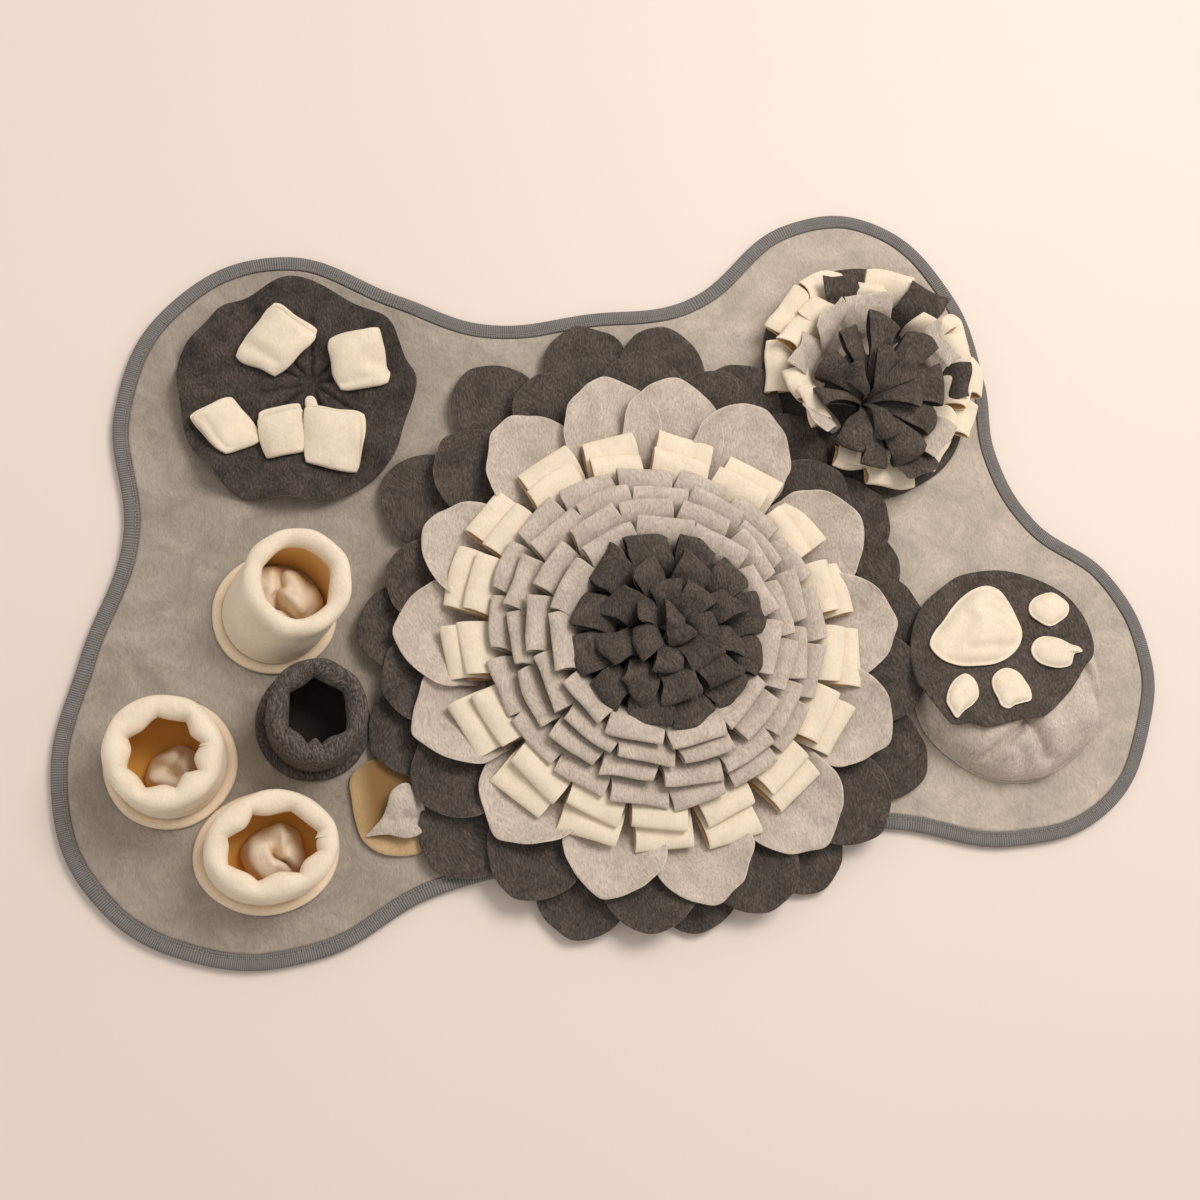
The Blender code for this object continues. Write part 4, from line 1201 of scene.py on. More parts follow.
TAB_STATIONS = (  # share of the length, share of the layer gap, round the fold
    (1.0, 0.0), (0.66, -0.05), (0.33, -0.05), (0.10, 0.0), (0.02, 0.18), (-0.005, 0.55), (0.03, 0.95),
    (0.12, 1.15), (0.40, 1.45), (0.72, 1.35), (1.0, 1.0),
)
FINGER_TAB = "mouth_right"
FINGER = (-0.2085, 0.1415)  # the curled corner of the last tab
FINGER_RADIUS = 0.0034
FINGER_LENGTH = 0.013
FINGER_ABOVE = 0.010  # above the disc's face


def curled_corner():
    """A little tube of cloth, closed at its tip, that points up and away along Y."""
    root = float(face_level(*FINGER)) + FINGER_ABOVE

    def place(u, v):
        radius = FINGER_RADIUS * np.sqrt(np.clip(1 - v**5, 0, 1)) * (1 + 0.15 * np.cos(4 * math.pi * u))
        out = FINGER_LENGTH * v
        swing = 0.7 * radius * np.sin(2 * math.pi * u)
        return (
            FINGER[0] + radius * np.cos(2 * math.pi * u) - 0.12 * out,
            FINGER[1] + 0.75 * out + swing,
            root + 0.315 * out * v + swing,
        )

    return cloth_grid("finger", 16, 10, place)


def make_tab(node, x, y, width, length, heading, rise, far_width, puff, skew, top_end, shift, creases, seed):
    """One folded cloth of the face.

    rise lifts its far end, far_width is that end's share of the width, skew slants it, top_end is where
    the upper layer ends, as a share of the length, and shift moves that end aside.
    """
    turn = math.radians(heading)

    def place(u, v):
        path = smooth_line(TAB_STATIONS, v + 0.3 * np.sin(2 * math.pi * v) / (2 * math.pi))
        a = np.interp(u, (0, 0.08, 0.92, 1), (-1, -0.93, 0.93, 1))
        along, above = path.T
        front = np.clip(above, 0, 1)
        along = np.where(above > 0.5, along * top_end, along)
        inner = np.clip(along, 0, 1)
        spread = 1 + (far_width - 1) * inner
        belly = (1 - a**2) * np.sin(math.pi * inner)
        rounded = 1 - 0.10 * np.abs(2 * inner - 1) ** 5
        side = (a / 2 * spread * rounded + skew * (along - 0.5) + shift * front * inner) * width
        forwards = (along - 0.5) * (1 - 0.09 * np.abs(a) ** 5) * length
        px = x + side * math.cos(turn) - forwards * math.sin(turn)
        py = y + side * math.sin(turn) + forwards * math.cos(turn)
        level = face_level(px, py) + FLEECE / 2 + GAP + TAB_FLEECE / 2 + 0.0004
        height = level + rise * inner**1.5 * (1 - 0.5 * (level - ON_DISC) / 0.016)
        height = height + above * TAB_LAYER_GAP * (0.45 + 0.55 * (1 - a**4)) + front * puff * belly**0.7
        for a0, l0, a1, l1, depth, wide in creases:
            height = height - front * crease(a / 2, inner, (a0 / 2, l0), (a1 / 2, l1), depth, wide)
        return px, py, height

    tab = cloth_grid(node + "_cloth", 16, 30, place)
    lowest = vertices_of(tab)
    spots = wander(lowest, 0.026, 0.0008, seed)
    spots[:, 2] = np.maximum(spots[:, 2], lowest[:, 2])
    move_vertices(tab, spots)
    if node == FINGER_TAB:
        tab = join(node + "_cloth", [tab, curled_corner()])
    thicken(tab, "cream_fleece", thickness=TAB_FLEECE)
    seat(tab, "cream_fleece", node)


for number, row in enumerate(FACE_TABS):
    make_tab(**row, seed=60 + number)

# %% [markdown]
# ## The pompom
#
# A charcoal disc carries rings of scraps that get shorter and stand higher towards the middle: cream
# loops, square charcoal tabs, ragged grey tabs, and charcoal leaves pinched together where they are
# sewn. They are the same two shapes as in the flower, a folded strip and a single one, with their own
# angles and lengths.

# %% Pompom
POM_DISC = (0.246, 0.125, 0.089, 0.101)  # centre x, centre y, radii along X and Y
POM_CREAM = (  # angle in degrees, reach, height, half width
    (-113, 0.077, 0.022, 0.017), (-92, 0.090, 0.024, 0.020), (-58, 0.084, 0.026, 0.016),
    (-32, 0.088, 0.026, 0.017), (-4, 0.092, 0.025, 0.018), (22, 0.090, 0.028, 0.016),
    (46, 0.092, 0.024, 0.017), (70, 0.094, 0.029, 0.020), (109, 0.096, 0.030, 0.020),
    (136, 0.096, 0.028, 0.021), (166, 0.088, 0.024, 0.020),
)
POM_CREAM_SHORT = (  # a second, shorter round of loops between the long ones
    (-102, 0.074, 0.032, 0.016), (-45, 0.074, 0.034, 0.014), (-16, 0.078, 0.035, 0.015),
    (10, 0.082, 0.033, 0.014), (34, 0.080, 0.035, 0.014), (84, 0.080, 0.034, 0.014),
    (122, 0.080, 0.035, 0.015), (144, 0.080, 0.036, 0.017), (182, 0.078, 0.038, 0.015),
    (200, 0.070, 0.040, 0.014),
)
POM_DARK = (  # angle in degrees, reach, half width
    (-76, 0.090, 0.017), (-8, 0.080, 0.016), (48, 0.092, 0.018), (100, 0.090, 0.017),
)
POM_LIGHT = (  # angle in degrees, reach, half width
    (-52, 0.078, 0.019), (22, 0.076, 0.019), (86, 0.074, 0.020), (118, 0.070, 0.017), (150, 0.070, 0.017),
    (204, 0.066, 0.015),
)
POM_LEAVES = (  # node, then for each leaf: angle in degrees, reach, height, half width, turn, twist
    ("pom_centre_outer", (
        (-124, 0.044, 0.045, 0.012, 10, 0.005), (-96, 0.058, 0.048, 0.013, -8, -0.006),
        (-64, 0.060, 0.050, 0.015, 6, 0.004), (-30, 0.056, 0.052, 0.015, -6, -0.005),
        (4, 0.062, 0.055, 0.017, 8, 0.004), (38, 0.070, 0.057, 0.015, -4, -0.003),
        (70, 0.066, 0.058, 0.014, 6, 0.005), (100, 0.058, 0.058, 0.012, -14, 0.008),
        (136, 0.048, 0.055, 0.011, 12, -0.008), (172, 0.044, 0.052, 0.011, -10, 0.008))),
    ("pom_centre_inner", (
        (-80, 0.036, 0.056, 0.010, 12, 0.004), (-8, 0.038, 0.061, 0.011, -10, -0.006),
        (28, 0.042, 0.063, 0.011, 8, 0.006), (60, 0.038, 0.065, 0.010, -8, 0.006),
        (124, 0.030, 0.062, 0.009, 14, -0.008))),
)
POM_CREAM_CENTRE = (0.248, 0.122)
POM_TABS = (  # node, cloth, centre, foot radius, height, teeth, height of the cloth's waves
    ("pom_dark", "charcoal_fleece", (0.245, 0.118), 0.046, 0.042, POM_DARK, 0.0010),
    ("pom_light", "light_grey_fleece", (0.242, 0.114), 0.034, 0.046, POM_LIGHT, 0.0022),
)
LEAF_CENTRE = (0.233, 0.099)
LEAF_SPINE = ((0.0, 0.0), (0.06, 0.55), (0.28, 0.80), (0.64, 0.93), (1.0, 1.0))
LEAF_FOOT = 0.003
LEAF_SINK = 0.003  # a leaf's middle lies this much under the table's height
POM_LOOP_WAVE_HEIGHT = 0.0017
POM_TAB_WAVE = 0.020
POM_TAB_BEND = 0.003
LEAF_WAVE = 0.024
LEAF_WAVE_HEIGHT = 0.0014

disc_x, disc_y, *disc_radii = POM_DISC


def pom_disc_height(x, y, u, share):
    return ON_MAT + 0.0012 * share**4 * (1 + np.sin(2 * math.pi * u * 7))


pom_disc = cloth_disc(
    "pom_disc_cloth", (disc_x, disc_y), oval((disc_x, disc_y), disc_radii, 0.008, 6, 4),
    pom_disc_height, 96, 16)
thicken(pom_disc, "charcoal_fleece", smooth_levels=0)
seat(pom_disc, "charcoal_fleece", "pom_disc")


def tab_line(foot, reach, height, bend):
    """Side view of a single tab that rises from its foot and leans outwards."""
    start = foot + 0.006
    return (
        (foot, ON_DISC), (start, ON_DISC + 0.0005),
        (start + 0.35 * (reach - start), ON_DISC + 0.50 * (height - ON_DISC) + bend),
        (start + 0.72 * (reach - start), ON_DISC + 0.84 * (height - ON_DISC) + bend), (reach, height),
    )


def make_pom_loops(chance):
    loops = []
    for foot, teeth in ((0.062, POM_CREAM), (0.052, POM_CREAM_SHORT)):
        for angle, reach, height, half_width in teeth:
            line = fold_line(
                foot, reach, height, chance.uniform(0.006, 0.009), chance.uniform(0, 0.003), ON_DISC)
            loops.append(ribbon(
                POM_CREAM_CENTRE, math.radians(angle), line, half_width,
                yaw=math.radians(chance.uniform(-16, 16)), bow=chance.uniform(-0.001, 0.004),
                twist=chance.uniform(-0.004, 0.004), flare=chance.uniform(-0.004, 0.001), columns=8))
    finish_strips(
        "pom_cream", "cream_fleece", loops, LOOP_WAVE, POM_LOOP_WAVE_HEIGHT, 81)


def make_pom_tabs(node, cloth, centre, foot, height, teeth, wave_height, chance):
    tabs = []
    for angle, reach, half_width in teeth:
        line = tab_line(foot, reach, height, POM_TAB_BEND)
        tabs.append(ribbon(
            centre, math.radians(angle), line, half_width, yaw=math.radians(chance.uniform(-14, 14)),
            twist=chance.uniform(-0.004, 0.004), flare=chance.uniform(-0.003, 0.004),
            bow=chance.uniform(-0.002, 0.003), crowding=0.0, columns=8))
    finish_strips(
        node, cloth, tabs, POM_TAB_WAVE, wave_height, 82, paint_fold_shade=False)


def make_pom_leaves(node, teeth, chance):
    leaves = []
    for angle, reach, height, half_width, turn, twist in teeth:
        line = fold_line(
            LEAF_FOOT, reach, height - LEAF_SINK, chance.uniform(0.0045, 0.0075),
            chance.uniform(0, 0.002), ON_DISC, LEAF_SPINE)
        leaves.append(ribbon(
            LEAF_CENTRE, math.radians(angle), line, half_width, yaw=math.radians(turn),
            bow=chance.uniform(0.001, 0.005), twist=twist, flare=chance.uniform(-0.007, -0.002),
            pinch=0.80, columns=10, rows=26))
    finish_strips(
        node, "charcoal_fleece", leaves, LEAF_WAVE, LEAF_WAVE_HEIGHT, 84)


pom_chance = random.Random(8)
make_pom_loops(pom_chance)
for row in POM_TABS:
    make_pom_tabs(*row, pom_chance)
for row in POM_LEAVES:
    make_pom_leaves(*row, pom_chance)

# %% [markdown]
# ## The paw
#
# A slouching pouch of light grey fleece is sewn down round its hem, and a charcoal disc lies on it,
# tilted, as its lid. Five cream pads sit on the lid. The pouch is a dome whose hem tucks under, with a
# few long creases where it slouches. Each pad is a small puffed cushion with a thin flat rim.

# %% Pouch and lid
PAW_DISC = (0.307, -0.113)
PAW_HEIGHT = 0.028  # of the lid's middle
PAW_SLOPE = 0.26  # rise of the lid towards -Y
POUCH = (0.313, -0.141, 0.082, 0.081)  # centre x, centre y, radii along X and Y
POUCH_CROWN = 0.044  # the pouch's own height, where the lid slopes up away from it
LID_WAVE = 0.00096
POUCH_CREASES = (  # start, end, depth, width
    ((0.318, -0.170), (0.291, -0.192), 0.0100, 0.0040),
    ((0.289, -0.193), (0.238, -0.208), 0.0075, 0.0036),
    ((0.314, -0.176), (0.323, -0.206), 0.0110, 0.0062),
    ((0.372, -0.138), (0.386, -0.182), 0.0085, 0.0050),
    ((0.252, -0.192), (0.243, -0.201), 0.0060, 0.0022),
    ((0.268, -0.217), (0.284, -0.218), 0.0060, 0.0026),
    ((0.345, -0.178), (0.362, -0.204), 0.0045, 0.0090),
    ((0.244, -0.168), (0.238, -0.196), 0.0050, 0.0060),
    ((0.300, -0.200), (0.305, -0.222), 0.0040, 0.0060),
    ((0.392, -0.150), (0.398, -0.180), 0.0050, 0.0040),
)
LID_OUTLINE = (  # x, y
    (0.385, -0.110), (0.383, -0.095), (0.376, -0.079), (0.363, -0.066), (0.347, -0.056),
    (0.327, -0.049), (0.309, -0.048), (0.290, -0.050), (0.271, -0.059), (0.252, -0.071),
    (0.238, -0.090), (0.230, -0.112), (0.229, -0.132), (0.234, -0.146), (0.240, -0.160),
    (0.246, -0.172), (0.260, -0.173), (0.272, -0.178), (0.289, -0.177), (0.307, -0.176),
    (0.322, -0.176), (0.331, -0.172), (0.342, -0.165), (0.352, -0.158), (0.363, -0.148),
    (0.371, -0.140), (0.379, -0.134), (0.384, -0.123),
)


def lid_level(x, y):
    return PAW_HEIGHT - PAW_SLOPE * (y - PAW_DISC[1])


def pouch_height(x, y, u, share):
    crown = np.clip(lid_level(x, y) - FLEECE - GAP - 0.0008, ON_MAT, POUCH_CROWN)
    height = ON_MAT + (crown - ON_MAT) * np.sqrt(np.clip(1 - np.clip(share / 0.97, 0, 1) ** 5.5, 0, 1))
    deepest = np.max([crease(x, y, *row) for row in POUCH_CREASES], axis=0)
    return np.maximum(height - deepest * np.clip((height - ON_MAT) / 0.012, 0, 1), ON_MAT)


pouch_x, pouch_y, *pouch_radii = POUCH
pouch = cloth_disc(
    "paw_pouch_cloth", (pouch_x, pouch_y), oval((pouch_x, pouch_y), pouch_radii, 0.010, 6, 9),
    pouch_height, 160, 46, crowding=0.62)
spots = vertices_of(pouch)
lifted = np.clip((spots[:, 2] - ON_MAT) / 0.015, 0, 1)[:, None]
pushed = wander(spots, 0.045, 0.0013, 91)
pushed[:, 2] = np.minimum(pushed[:, 2], spots[:, 2])
move_vertices(pouch, spots + (pushed - spots) * lifted)
thicken(pouch, "light_grey_fleece", smooth_levels=0)
seat(pouch, "light_grey_fleece", "paw_pouch")


def lid_height(x, y, u, share):
    return lid_level(x, y) + LID_WAVE * share**3 * np.sin(2 * math.pi * u * 3 + 1.2)


lid = cloth_disc("paw_lid_cloth", PAW_DISC, lambda u: closed_line(LID_OUTLINE, u), lid_height, 120, 30)
thicken(lid, "charcoal_fleece", smooth_levels=0)
seat(lid, "charcoal_fleece", "paw_disc")

# %% [markdown]
# ## The paw's pads
#
# A pad is a cushion on a thin rim. Its top is a round sheet, level in the middle and falling to the rim.
# Extruding the top's open edge straight down makes the rim's side, and one face closes it underneath.

# %% Paw pads
PAW_PADS = (  # node, puff, creases (start, end, depth, width), outline (x, y)
    ("paw_palm", 0.0105, (
        ((0.264, -0.106), (0.284, -0.088), 0.0052, 0.0080),
        ((0.302, -0.082), (0.318, -0.096), 0.0050, 0.0065),
        ((0.276, -0.113), (0.314, -0.116), 0.0026, 0.0045)),
     ((0.247, -0.105), (0.253, -0.096), (0.264, -0.087), (0.275, -0.077), (0.286, -0.069),
      (0.299, -0.063), (0.312, -0.062), (0.319, -0.066), (0.324, -0.077), (0.326, -0.091),
      (0.326, -0.106), (0.321, -0.115), (0.309, -0.124), (0.296, -0.128), (0.282, -0.128),
      (0.264, -0.125), (0.252, -0.117))),
    ("paw_toe_1", 0.0050, (((0.362, -0.084), (0.366, -0.082), 0.0016, 0.0035),),
     ((0.340, -0.084), (0.346, -0.078), (0.355, -0.075), (0.364, -0.075), (0.369, -0.079),
      (0.374, -0.087), (0.371, -0.094), (0.362, -0.100), (0.351, -0.103), (0.344, -0.098),
      (0.339, -0.090))),
    ("paw_toe_2", 0.0050, (((0.352, -0.120), (0.360, -0.126), 0.0012, 0.0035),),
     ((0.329, -0.121), (0.333, -0.115), (0.342, -0.111), (0.349, -0.112), (0.356, -0.115),
      (0.364, -0.121), (0.3705, -0.1245), (0.3715, -0.1275), (0.364, -0.129), (0.357, -0.138),
      (0.352, -0.139), (0.340, -0.137), (0.332, -0.132), (0.329, -0.126))),
    ("paw_toe_3", 0.0048, (((0.297, -0.141), (0.300, -0.142), 0.0015, 0.0035),),
     ((0.289, -0.140), (0.297, -0.134), (0.304, -0.133), (0.311, -0.137), (0.315, -0.146),
      (0.317, -0.154), (0.314, -0.162), (0.308, -0.163), (0.300, -0.164), (0.294, -0.166),
      (0.289, -0.163), (0.288, -0.156), (0.287, -0.149))),
    ("paw_toe_4", 0.0048, (((0.259, -0.146), (0.264, -0.143), 0.0012, 0.0035),),
     ((0.247, -0.150), (0.253, -0.141), (0.261, -0.135), (0.268, -0.133), (0.273, -0.137),
      (0.275, -0.144), (0.273, -0.152), (0.267, -0.158), (0.257, -0.163), (0.2495, -0.1675),
      (0.247, -0.160), (0.246, -0.153))),
)
PAD_RIM = 0.0016  # thickness of the flat rim


def make_pad(node, puff, creases, points):
    middle = np.mean(points, axis=0)

    def height(x, y, u, share):
        inner = np.clip((0.93 - share) / 0.93, 0, 1)
        level = lid_level(x, y) + FLEECE / 2 + GAP + 0.0008 + PAD_RIM
        rise = puff * np.clip(1 - (1 - inner) ** 3.2, 0, 1) * (inner > 0)
        for start, end, depth, width in creases:
            rise = rise - crease(x, y, start, end, depth, width) * np.clip(rise / 0.003, 0, 1)
        return level + rise + 0.0004 * np.sin(u * 2 * math.pi * 4) * share

    pad = cloth_disc(node + "_cloth", middle, lambda u: closed_line(points, u), height, 64, 20, crowding=0.8)
    select_only(pad)
    bpy.ops.object.mode_set(mode="EDIT")
    bpy.ops.mesh.select_all(action="SELECT")
    bpy.ops.mesh.select_non_manifold()
    bpy.ops.mesh.extrude_region_move(TRANSFORM_OT_translate={"value": (0, 0, -PAD_RIM)})
    bpy.ops.mesh.edge_face_add()
    bpy.ops.object.mode_set(mode="OBJECT")
    face_outwards(pad)
    bpy.ops.object.shade_smooth_by_angle(angle=math.radians(55))
    for material in CLOTHS["cream_fleece"]:
        pad.data.materials.append(material)
    seat(pad, "cream_fleece", node)


for row in PAW_PADS:
    make_pad(*row)

# %% [markdown]
# ## The cups
#
# Each cup is a fleece tube on a round base. Its top is rolled over a ring of wadding and gathered, so
# the rim is thick and its inner edge is scalloped. The wall is one closed section, up the outside, over
# the roll and down the inside, carried round the cup by a grid. The light inside a cream cup bounces
# from cream to cream and turns amber. An attribute named deep says how far inside a point is, and the
# cup's own material paints that warm, dark shade into the cloth's colour by it.

# %% Cup materials
def paint_inner_shade(material, hex_colour):
    """Paints shade into a fleece: mixes a darker colour in where the attribute deep says that it lies inside.
    """
    tree = material.node_tree
    shader = tree.nodes["Principled BSDF"]
    plain = shader.inputs["Base Color"].links[0].from_socket
    inside = add_node(material, "ShaderNodeAttribute", {}, attribute_name="deep").outputs["Fac"]
    mixed = add_node(material, "ShaderNodeMix", {
        0: inside, 6: plain, 7: linear(hex_colour),
    }, data_type="RGBA").outputs[2]
    tree.links.new(mixed, shader.inputs["Base Color"])
    return material


def set_shade_depth(piece, values):
    """Says how far inside each vertex lies, from 0 to 1, and so how much painted shade it gets."""
    layer = piece.data.attributes.new("deep", "FLOAT", "POINT")
    layer.data.foreach_set("value", np.clip(values, 0, 1))


# the cups' own fleeces: brushed cream or charcoal, with amber or nearly black painted shade deep inside
CLOTHS["cup_cream"] = [
    paint_inner_shade(new_fleece("cream fleece, cup, painted shade inside", "E8DAC4", "EDE1CE", "E0CFB5", 0.6, 0.05, nap=0.35), "E3AF5A"),
]
CLOTHS["cup_charcoal"] = [
    paint_inner_shade(new_fleece("charcoal fleece, cup, painted shade inside", "524B46", "716963", "3A3531", 1.1, 0.10, nap=0.9), "3A332E"),
]
print("cup materials ready")

# %% Cups
CUP_BASE = 0.0024  # thickness of the base
CUP_WALL = 0.0024  # thickness of the wall at its foot
CUP_FLANGE = 0.0072  # how far the base stands out round the tube
CUPS = (  # tube and rolled hold radii along X and Y, notches are in degrees round the rim
    dict(name="cup_a", slot="cream_fleece", cloth="cup_cream", base=(-0.257, -0.012),
         rim=(-0.237, -0.001), tube=(0.0385, 0.0385), rolled=(0.0340, 0.0355), height=0.058, roll=0.0066,
         scallop=0.0016, notches=(20, 95, 150, 205, 262, 318)),
    dict(name="cup_b", slot="cream_fleece", cloth="cup_cream", base=(-0.345, -0.114),
         rim=(-0.347, -0.113), tube=(0.0405, 0.0405), rolled=(0.0350, 0.0350), height=0.058, roll=0.0083,
         scallop=0.0052, notches=(5, 48, 92, 150, 196, 238, 283, 325)),
    dict(name="cup_c", slot="cream_fleece", cloth="cup_cream", base=(-0.284, -0.189),
         rim=(-0.279, -0.188), tube=(0.0450, 0.0375), rolled=(0.0410, 0.0330), height=0.050, roll=0.0078,
         scallop=0.0048, notches=(12, 60, 110, 158, 200, 246, 300, 340)),
    dict(name="cup_d", slot="charcoal_fleece", cloth="cup_charcoal", base=(-0.239, -0.099),
         rim=(-0.236, -0.0975), tube=(0.0345, 0.0360), rolled=(0.0305, 0.0330), height=0.052,
         roll=0.0074, scallop=0.0040, notches=(30, 88, 140, 200, 244, 270, 322)),
)
FLANGE_SWELL = 0.0012  # how high the flange is puffed beside the groove at the wall's foot
GROOVE = 0.0006
FLANGE_DEEP = 0.16  # the flange is a little warmer than the wall, because it lies in the cup's shade
CUP_COLUMNS = 144
CUP_SECTION_ROWS = 40


def scallops(angle, notches):
    """0 at each notch and 1 midway between two of them."""
    marks = np.radians(np.array(notches, dtype=float))
    marks = np.concatenate((marks[-1:] - 2 * math.pi, marks, marks[:1] + 2 * math.pi))
    turned = np.mod(angle, 2 * math.pi)
    k = np.clip(np.searchsorted(marks, turned, side="right") - 1, 0, len(marks) - 2)
    share = (turned - marks[k]) / (marks[k + 1] - marks[k])
    return np.sin(math.pi * share) ** 0.9


def make_cup_base(name, slot, cloth, base, tube, seed):
    floor_level = PAD_TOP + GAP
    radii = (tube[0] + CUP_FLANGE, tube[1] + CUP_FLANGE)

    def base_height(x, y, u, share):
        ring = np.clip((share * radii[0] - tube[0] - GROOVE) / (CUP_FLANGE - GROOVE), 0, 1)
        return floor_level + CUP_BASE / 2 + FLANGE_SWELL * np.sin(math.pi * ring) ** 0.7

    piece = cloth_disc(
        name + "_base_cloth", base, oval(base, radii, 0.006, 3, seed), base_height, 72, 26, crowding=0.7)
    spots = vertices_of(piece)
    inside = np.hypot((spots[:, 0] - base[0]) / tube[0], (spots[:, 1] - base[1]) / tube[1]) < 0.97
    # painted shade: full on the cup's floor inside the tube, a little on the flange
    set_shade_depth(piece, np.where(inside, 1.0, FLANGE_DEEP))
    thicken(piece, cloth, thickness=CUP_BASE, smooth_levels=0)
    seat(piece, slot, name + "_base")


def cup_section(foot, height, roll):
    """The wall's section: share of the way from the tube's radius to the rim's, outwards, height, lip, deep.

    lip says how much of the scallops a point takes, and deep how far inside the cup it is.
    """
    top = foot + height
    return np.array((
        (0.0, 0.0004, foot + 0.0003, 0.0, 0.0),
        (0.10, 0.0012, foot + 0.10 * height, 0.0, 0.0),
        (0.5, 0.0036, foot + 0.42 * height, 0.0, 0.0),
        (0.85, 0.52 * roll, top - 2.5 * roll, 0.0, 0.0),
        (1.0, 0.74 * roll, top - 1.5 * roll, 0.0, 0.0),
        (1.0, 0.74 * roll, top - 0.8 * roll, 0.0, 0.0),
        (1.0, 0.42 * roll, top - 0.22 * roll, 0.05, 0.0),
        (1.0, -0.10 * roll, top, 0.25, 0.0),
        (1.0, -0.66 * roll, top - 0.16 * roll, 0.6, 0.0),
        (1.0, -1.08 * roll, top - 0.62 * roll, 0.9, 0.05),
        (1.0, -1.20 * roll, top - 1.22 * roll, 1.0, 0.25),
        (1.0, -0.98 * roll, top - 1.85 * roll, 0.75, 0.50),
        (0.9, -0.56 * roll, top - 2.5 * roll, 0.25, 0.72),
        (0.5, -CUP_WALL + 0.0010, foot + 0.42 * height, 0.0, 0.92),
        (0.0, -CUP_WALL, foot + 0.10 * height, 0.0, 1.0),
        (0.0, -CUP_WALL, foot + 0.0003, 0.0, 1.0),
    ))


def make_cup_wall(name, slot, cloth, base, tube, seed, rim, rolled, height, roll, scallop, notches):
    foot = PAD_TOP + CUP_BASE + 2 * GAP
    section = cup_section(foot, height, roll)
    deep = []

    def place(u, v):
        angle = 2 * math.pi * u
        row = smooth_line(section, v, lengths=slice(1, 3))
        row[v > 0.9999] = section[0]
        share, outwards, level, lip, sunk = row.T
        bulge = scallops(angle, notches)
        outwards = outwards - scallop * lip * (bulge * (0.85 + 0.3 * np.sin(2.3 * angle + seed)) - 0.35)
        level = level - 0.4 * scallop * lip * (1 - bulge)
        level = level + 0.0010 * np.sin(2 * angle + seed) * np.clip((level - foot) / height, 0, 1)
        up = (level - foot) / height
        radius_x = tube[0] + (rolled[0] - tube[0]) * share + outwards
        radius_y = tube[1] + (rolled[1] - tube[1]) * share + outwards
        deep.append(sunk)
        return (
            base[0] + (rim[0] - base[0]) * up + radius_x * np.cos(angle),
            base[1] + (rim[1] - base[1]) * up + radius_y * np.sin(angle),
            level,
        )

    wall = cloth_grid(name + "_wall_cloth", CUP_COLUMNS, CUP_SECTION_ROWS, place)
    # painted shade, by how far inside the cup each point lies
    set_shade_depth(wall, deep[0])
    spots = vertices_of(wall)
    lifted = np.clip((spots[:, 2] - foot) / height, 0, 1)[:, None]
    pushed = wander(spots, 0.034, 0.0009, seed)
    move_vertices(wall, spots + (pushed - spots) * lifted)
    weld(wall, 0.00003)
    face_outwards(wall)
    bpy.ops.object.shade_smooth()
    wall.data.materials.append(CLOTHS[cloth][0])
    seat(wall, slot, name + "_wall")


def make_cup(name, slot, cloth, base, tube, seed, **wall):
    make_cup_base(name, slot, cloth, base, tube, seed)
    make_cup_wall(name, slot, cloth, base, tube, seed, **wall)


for number, cup in enumerate(CUPS):
    make_cup(**cup, seed=70 + number)

# %% [markdown]
# ## Cloth in the cups
#
# A crumpled cream cloth lies in each cream cup. It is a round sheet, drawn up to a dome and cleft by deep
# folds from its middle, and shade is painted onto its foot, low in the cup.

# %% Cloth in the cups
CUP_FOLDS = (  # node, x, y, radius x, radius y, height, clefts (heading in degrees, reach, depth, width)
    ("cup_a_fold", -0.2550, -0.0110, 0.0335, 0.0335, 0.034,
     ((75, 0.030, 0.013, 0.0034), (195, 0.028, 0.010, 0.0030), (318, 0.030, 0.016, 0.0040))),
    ("cup_b_fold", -0.341, -0.124, 0.021, 0.020, 0.024,
     ((150, 0.020, 0.009, 0.0050), (60, 0.018, 0.004, 0.0040), (300, 0.016, 0.004, 0.0040))),
    ("cup_c_fold", -0.279, -0.192, 0.022, 0.022, 0.024,
     ((312, 0.024, 0.015, 0.0030), (20, 0.018, 0.004, 0.0040), (110, 0.022, 0.007, 0.0040))),
)


def make_fold(node, x, y, radius_x, radius_y, height, clefts, seed):
    level = PAD_TOP + CUP_BASE + 3 * GAP + FLEECE / 2

    def fold_height(px, py, u, share):
        dome = height * np.sqrt(np.clip(1 - share**2.6, 0, 1))
        for heading, reach, depth, width in clefts:
            turn = math.radians(heading)
            end = (x + reach * math.cos(turn), y + reach * math.sin(turn))
            dome = dome - crease(px, py, (x, y), end, depth, width) * np.clip(dome / height, 0, 1)
        return level + np.maximum(dome, 0)

    piece = cloth_disc(
        node + "_cloth", (x, y), oval((x, y), (radius_x, radius_y), 0.05, 3, seed), fold_height,
        72, 24, crowding=0.7)
    spots = vertices_of(piece)
    up = np.clip((spots[:, 2] - level) / height, 0, 1)
    pushed = wander(spots, 0.022, 0.0022, seed)
    move_vertices(piece, spots + (pushed - spots) * up[:, None])
    # painted shade, strongest at the cloth's foot, low in the cup
    set_shade_depth(piece, 0.45 * (1 - up) ** 0.8)
    thicken(piece, "cup_cream", smooth_levels=0)
    seat(piece, "cream_fleece", node)


for number, row in enumerate(CUP_FOLDS):
    make_fold(*row, seed=75 + number)
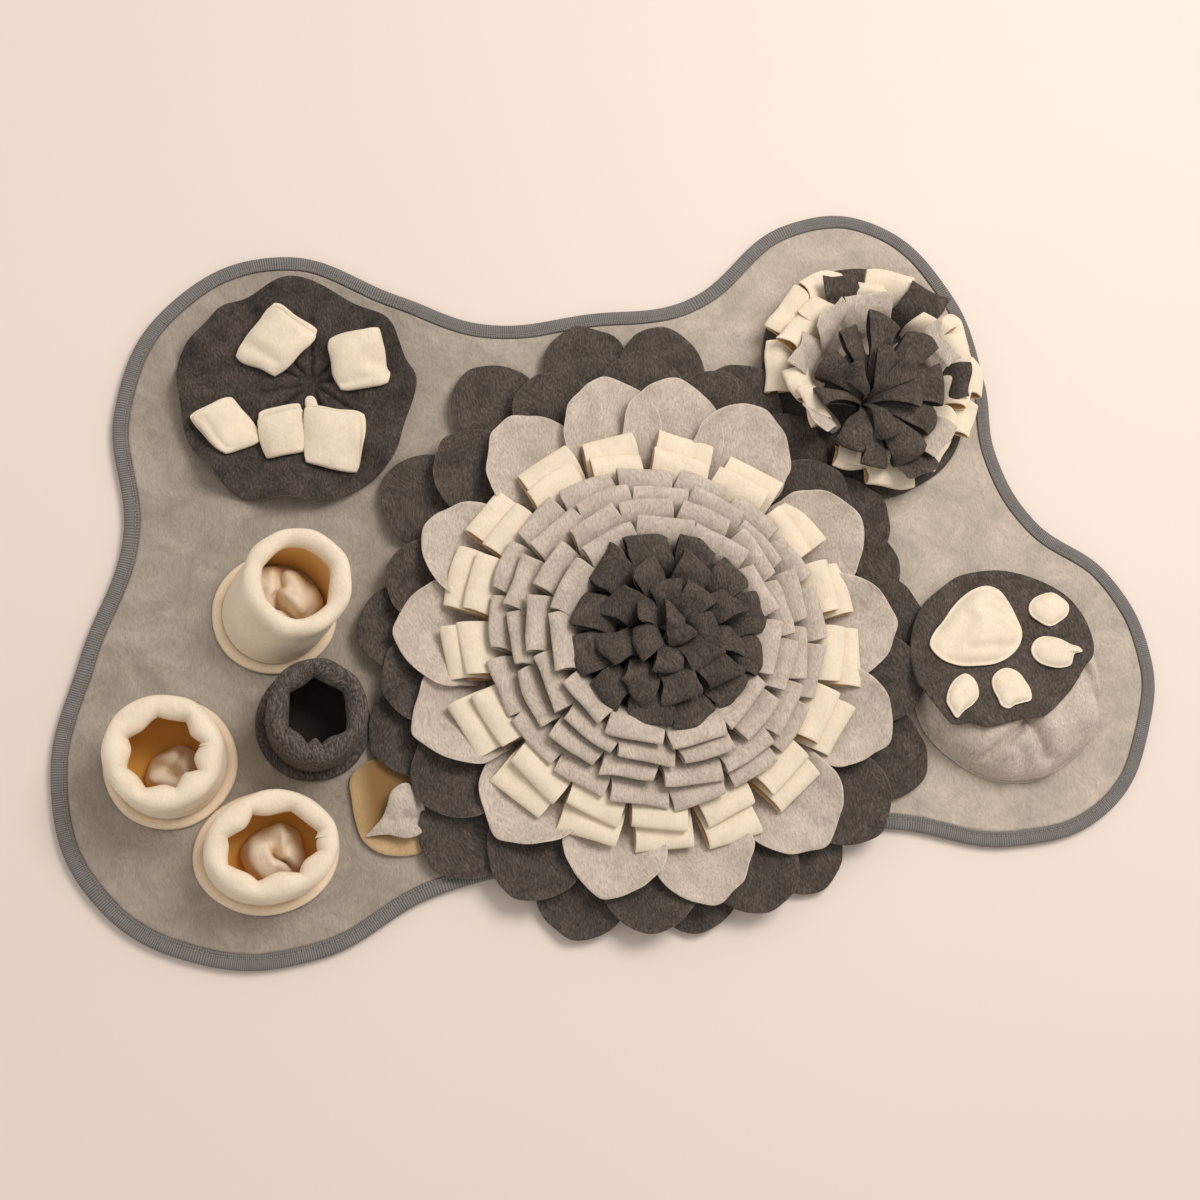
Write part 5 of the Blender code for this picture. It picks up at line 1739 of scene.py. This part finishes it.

# %% [markdown]
# ## The side pocket
#
# A tan cloth with a curved edge lies between two dark petals, mostly under them, with a light grey
# cloth folded into it. Only their outer ends show. Shade is painted into the tan cloth's colour where the
# fold and the petals shelter it, with the same attribute as in the cups.

# %% Side pocket
POCKET_OUTLINE = (  # x, y
    (-0.164, -0.132), (-0.184, -0.130), (-0.204, -0.134), (-0.2165, -0.142), (-0.2180, -0.160),
    (-0.2170, -0.1788), (-0.2141, -0.1901), (-0.2053, -0.1999), (-0.1882, -0.2059), (-0.1732, -0.2054),
    (-0.1640, -0.1960), (-0.1600, -0.1620),
)
FOLD_OUTLINE = (  # x, y
    (-0.1888, -0.1589), (-0.1935, -0.1690), (-0.1985, -0.1770), (-0.2060, -0.1835), (-0.2120, -0.1885),
    (-0.2060, -0.1885), (-0.1959, -0.1894), (-0.1818, -0.1944), (-0.1710, -0.1915), (-0.1670, -0.1800),
    (-0.1680, -0.1620), (-0.1780, -0.1540),
)
FOLD_CORNER = (-0.2120, -0.1885)  # where the fold is sewn into the pocket's seam
FOLD_LIFT = 0.0095
HOLLOW = ((-0.180, -0.1795), (-0.165, -0.1840), 0.0075, 0.0045)  # start, end, depth, width
SLACK = ((-0.193, -0.178), (-0.181, -0.187), 0.0022, 0.0040)
POCKET_CURL = 0.0024  # how high the tan cloth's outer edge curls


def pocket_height(x, y, u, share):
    return ON_MAT + POCKET_CURL * share**6 * np.clip((-0.176 - x) / 0.02, 0, 1)


pocket = cloth_disc(
    "pocket_back_cloth", (-0.190, -0.168), lambda u: closed_line(POCKET_OUTLINE, u), pocket_height, 64, 14)
pocket_x, pocket_y, _ = vertices_of(pocket).T
# painted shade on the tan cloth: darkest where the fold and the petals shelter it
set_shade_depth(pocket, np.clip((pocket_y + 0.1960) / 0.012, 0, 1) * np.clip((pocket_x + 0.2185) / 0.016, 0.35, 1))
CLOTHS["tan_painted_shade"] = [
    paint_inner_shade(new_fleece("tan fleece, pocket, painted shade", "C0A37B", "CBB08A", "B2946B", 0.6, 0.10, nap=0.35), "8B6D45"),
    *CLOTHS["tan_fleece"][1:],
]
thicken(pocket, "tan_painted_shade", smooth_levels=0)
seat(pocket, "tan_fleece", "pocket_back")


def fold_height(x, y, u, share):
    from_corner = np.hypot(x - FOLD_CORNER[0], y - FOLD_CORNER[1])
    lift = FOLD_LIFT * np.clip(from_corner / 0.034, 0, 1) * np.clip((-0.166 - x) / 0.014, 0.25, 1)
    sunk = crease(x, y, *HOLLOW) + crease(x, y, *SLACK)
    return ON_DISC + 0.0008 + np.maximum(lift * (1.15 - 0.25 * share**4) - sunk, 0)


pocket_fold = cloth_disc(
    "pocket_fold_cloth", (-0.186, -0.176), lambda u: closed_line(FOLD_OUTLINE, u), fold_height, 64, 20)
thicken(pocket_fold, "light_grey_fleece", smooth_levels=0)
seat(pocket_fold, "light_grey_fleece", "pocket_fold")
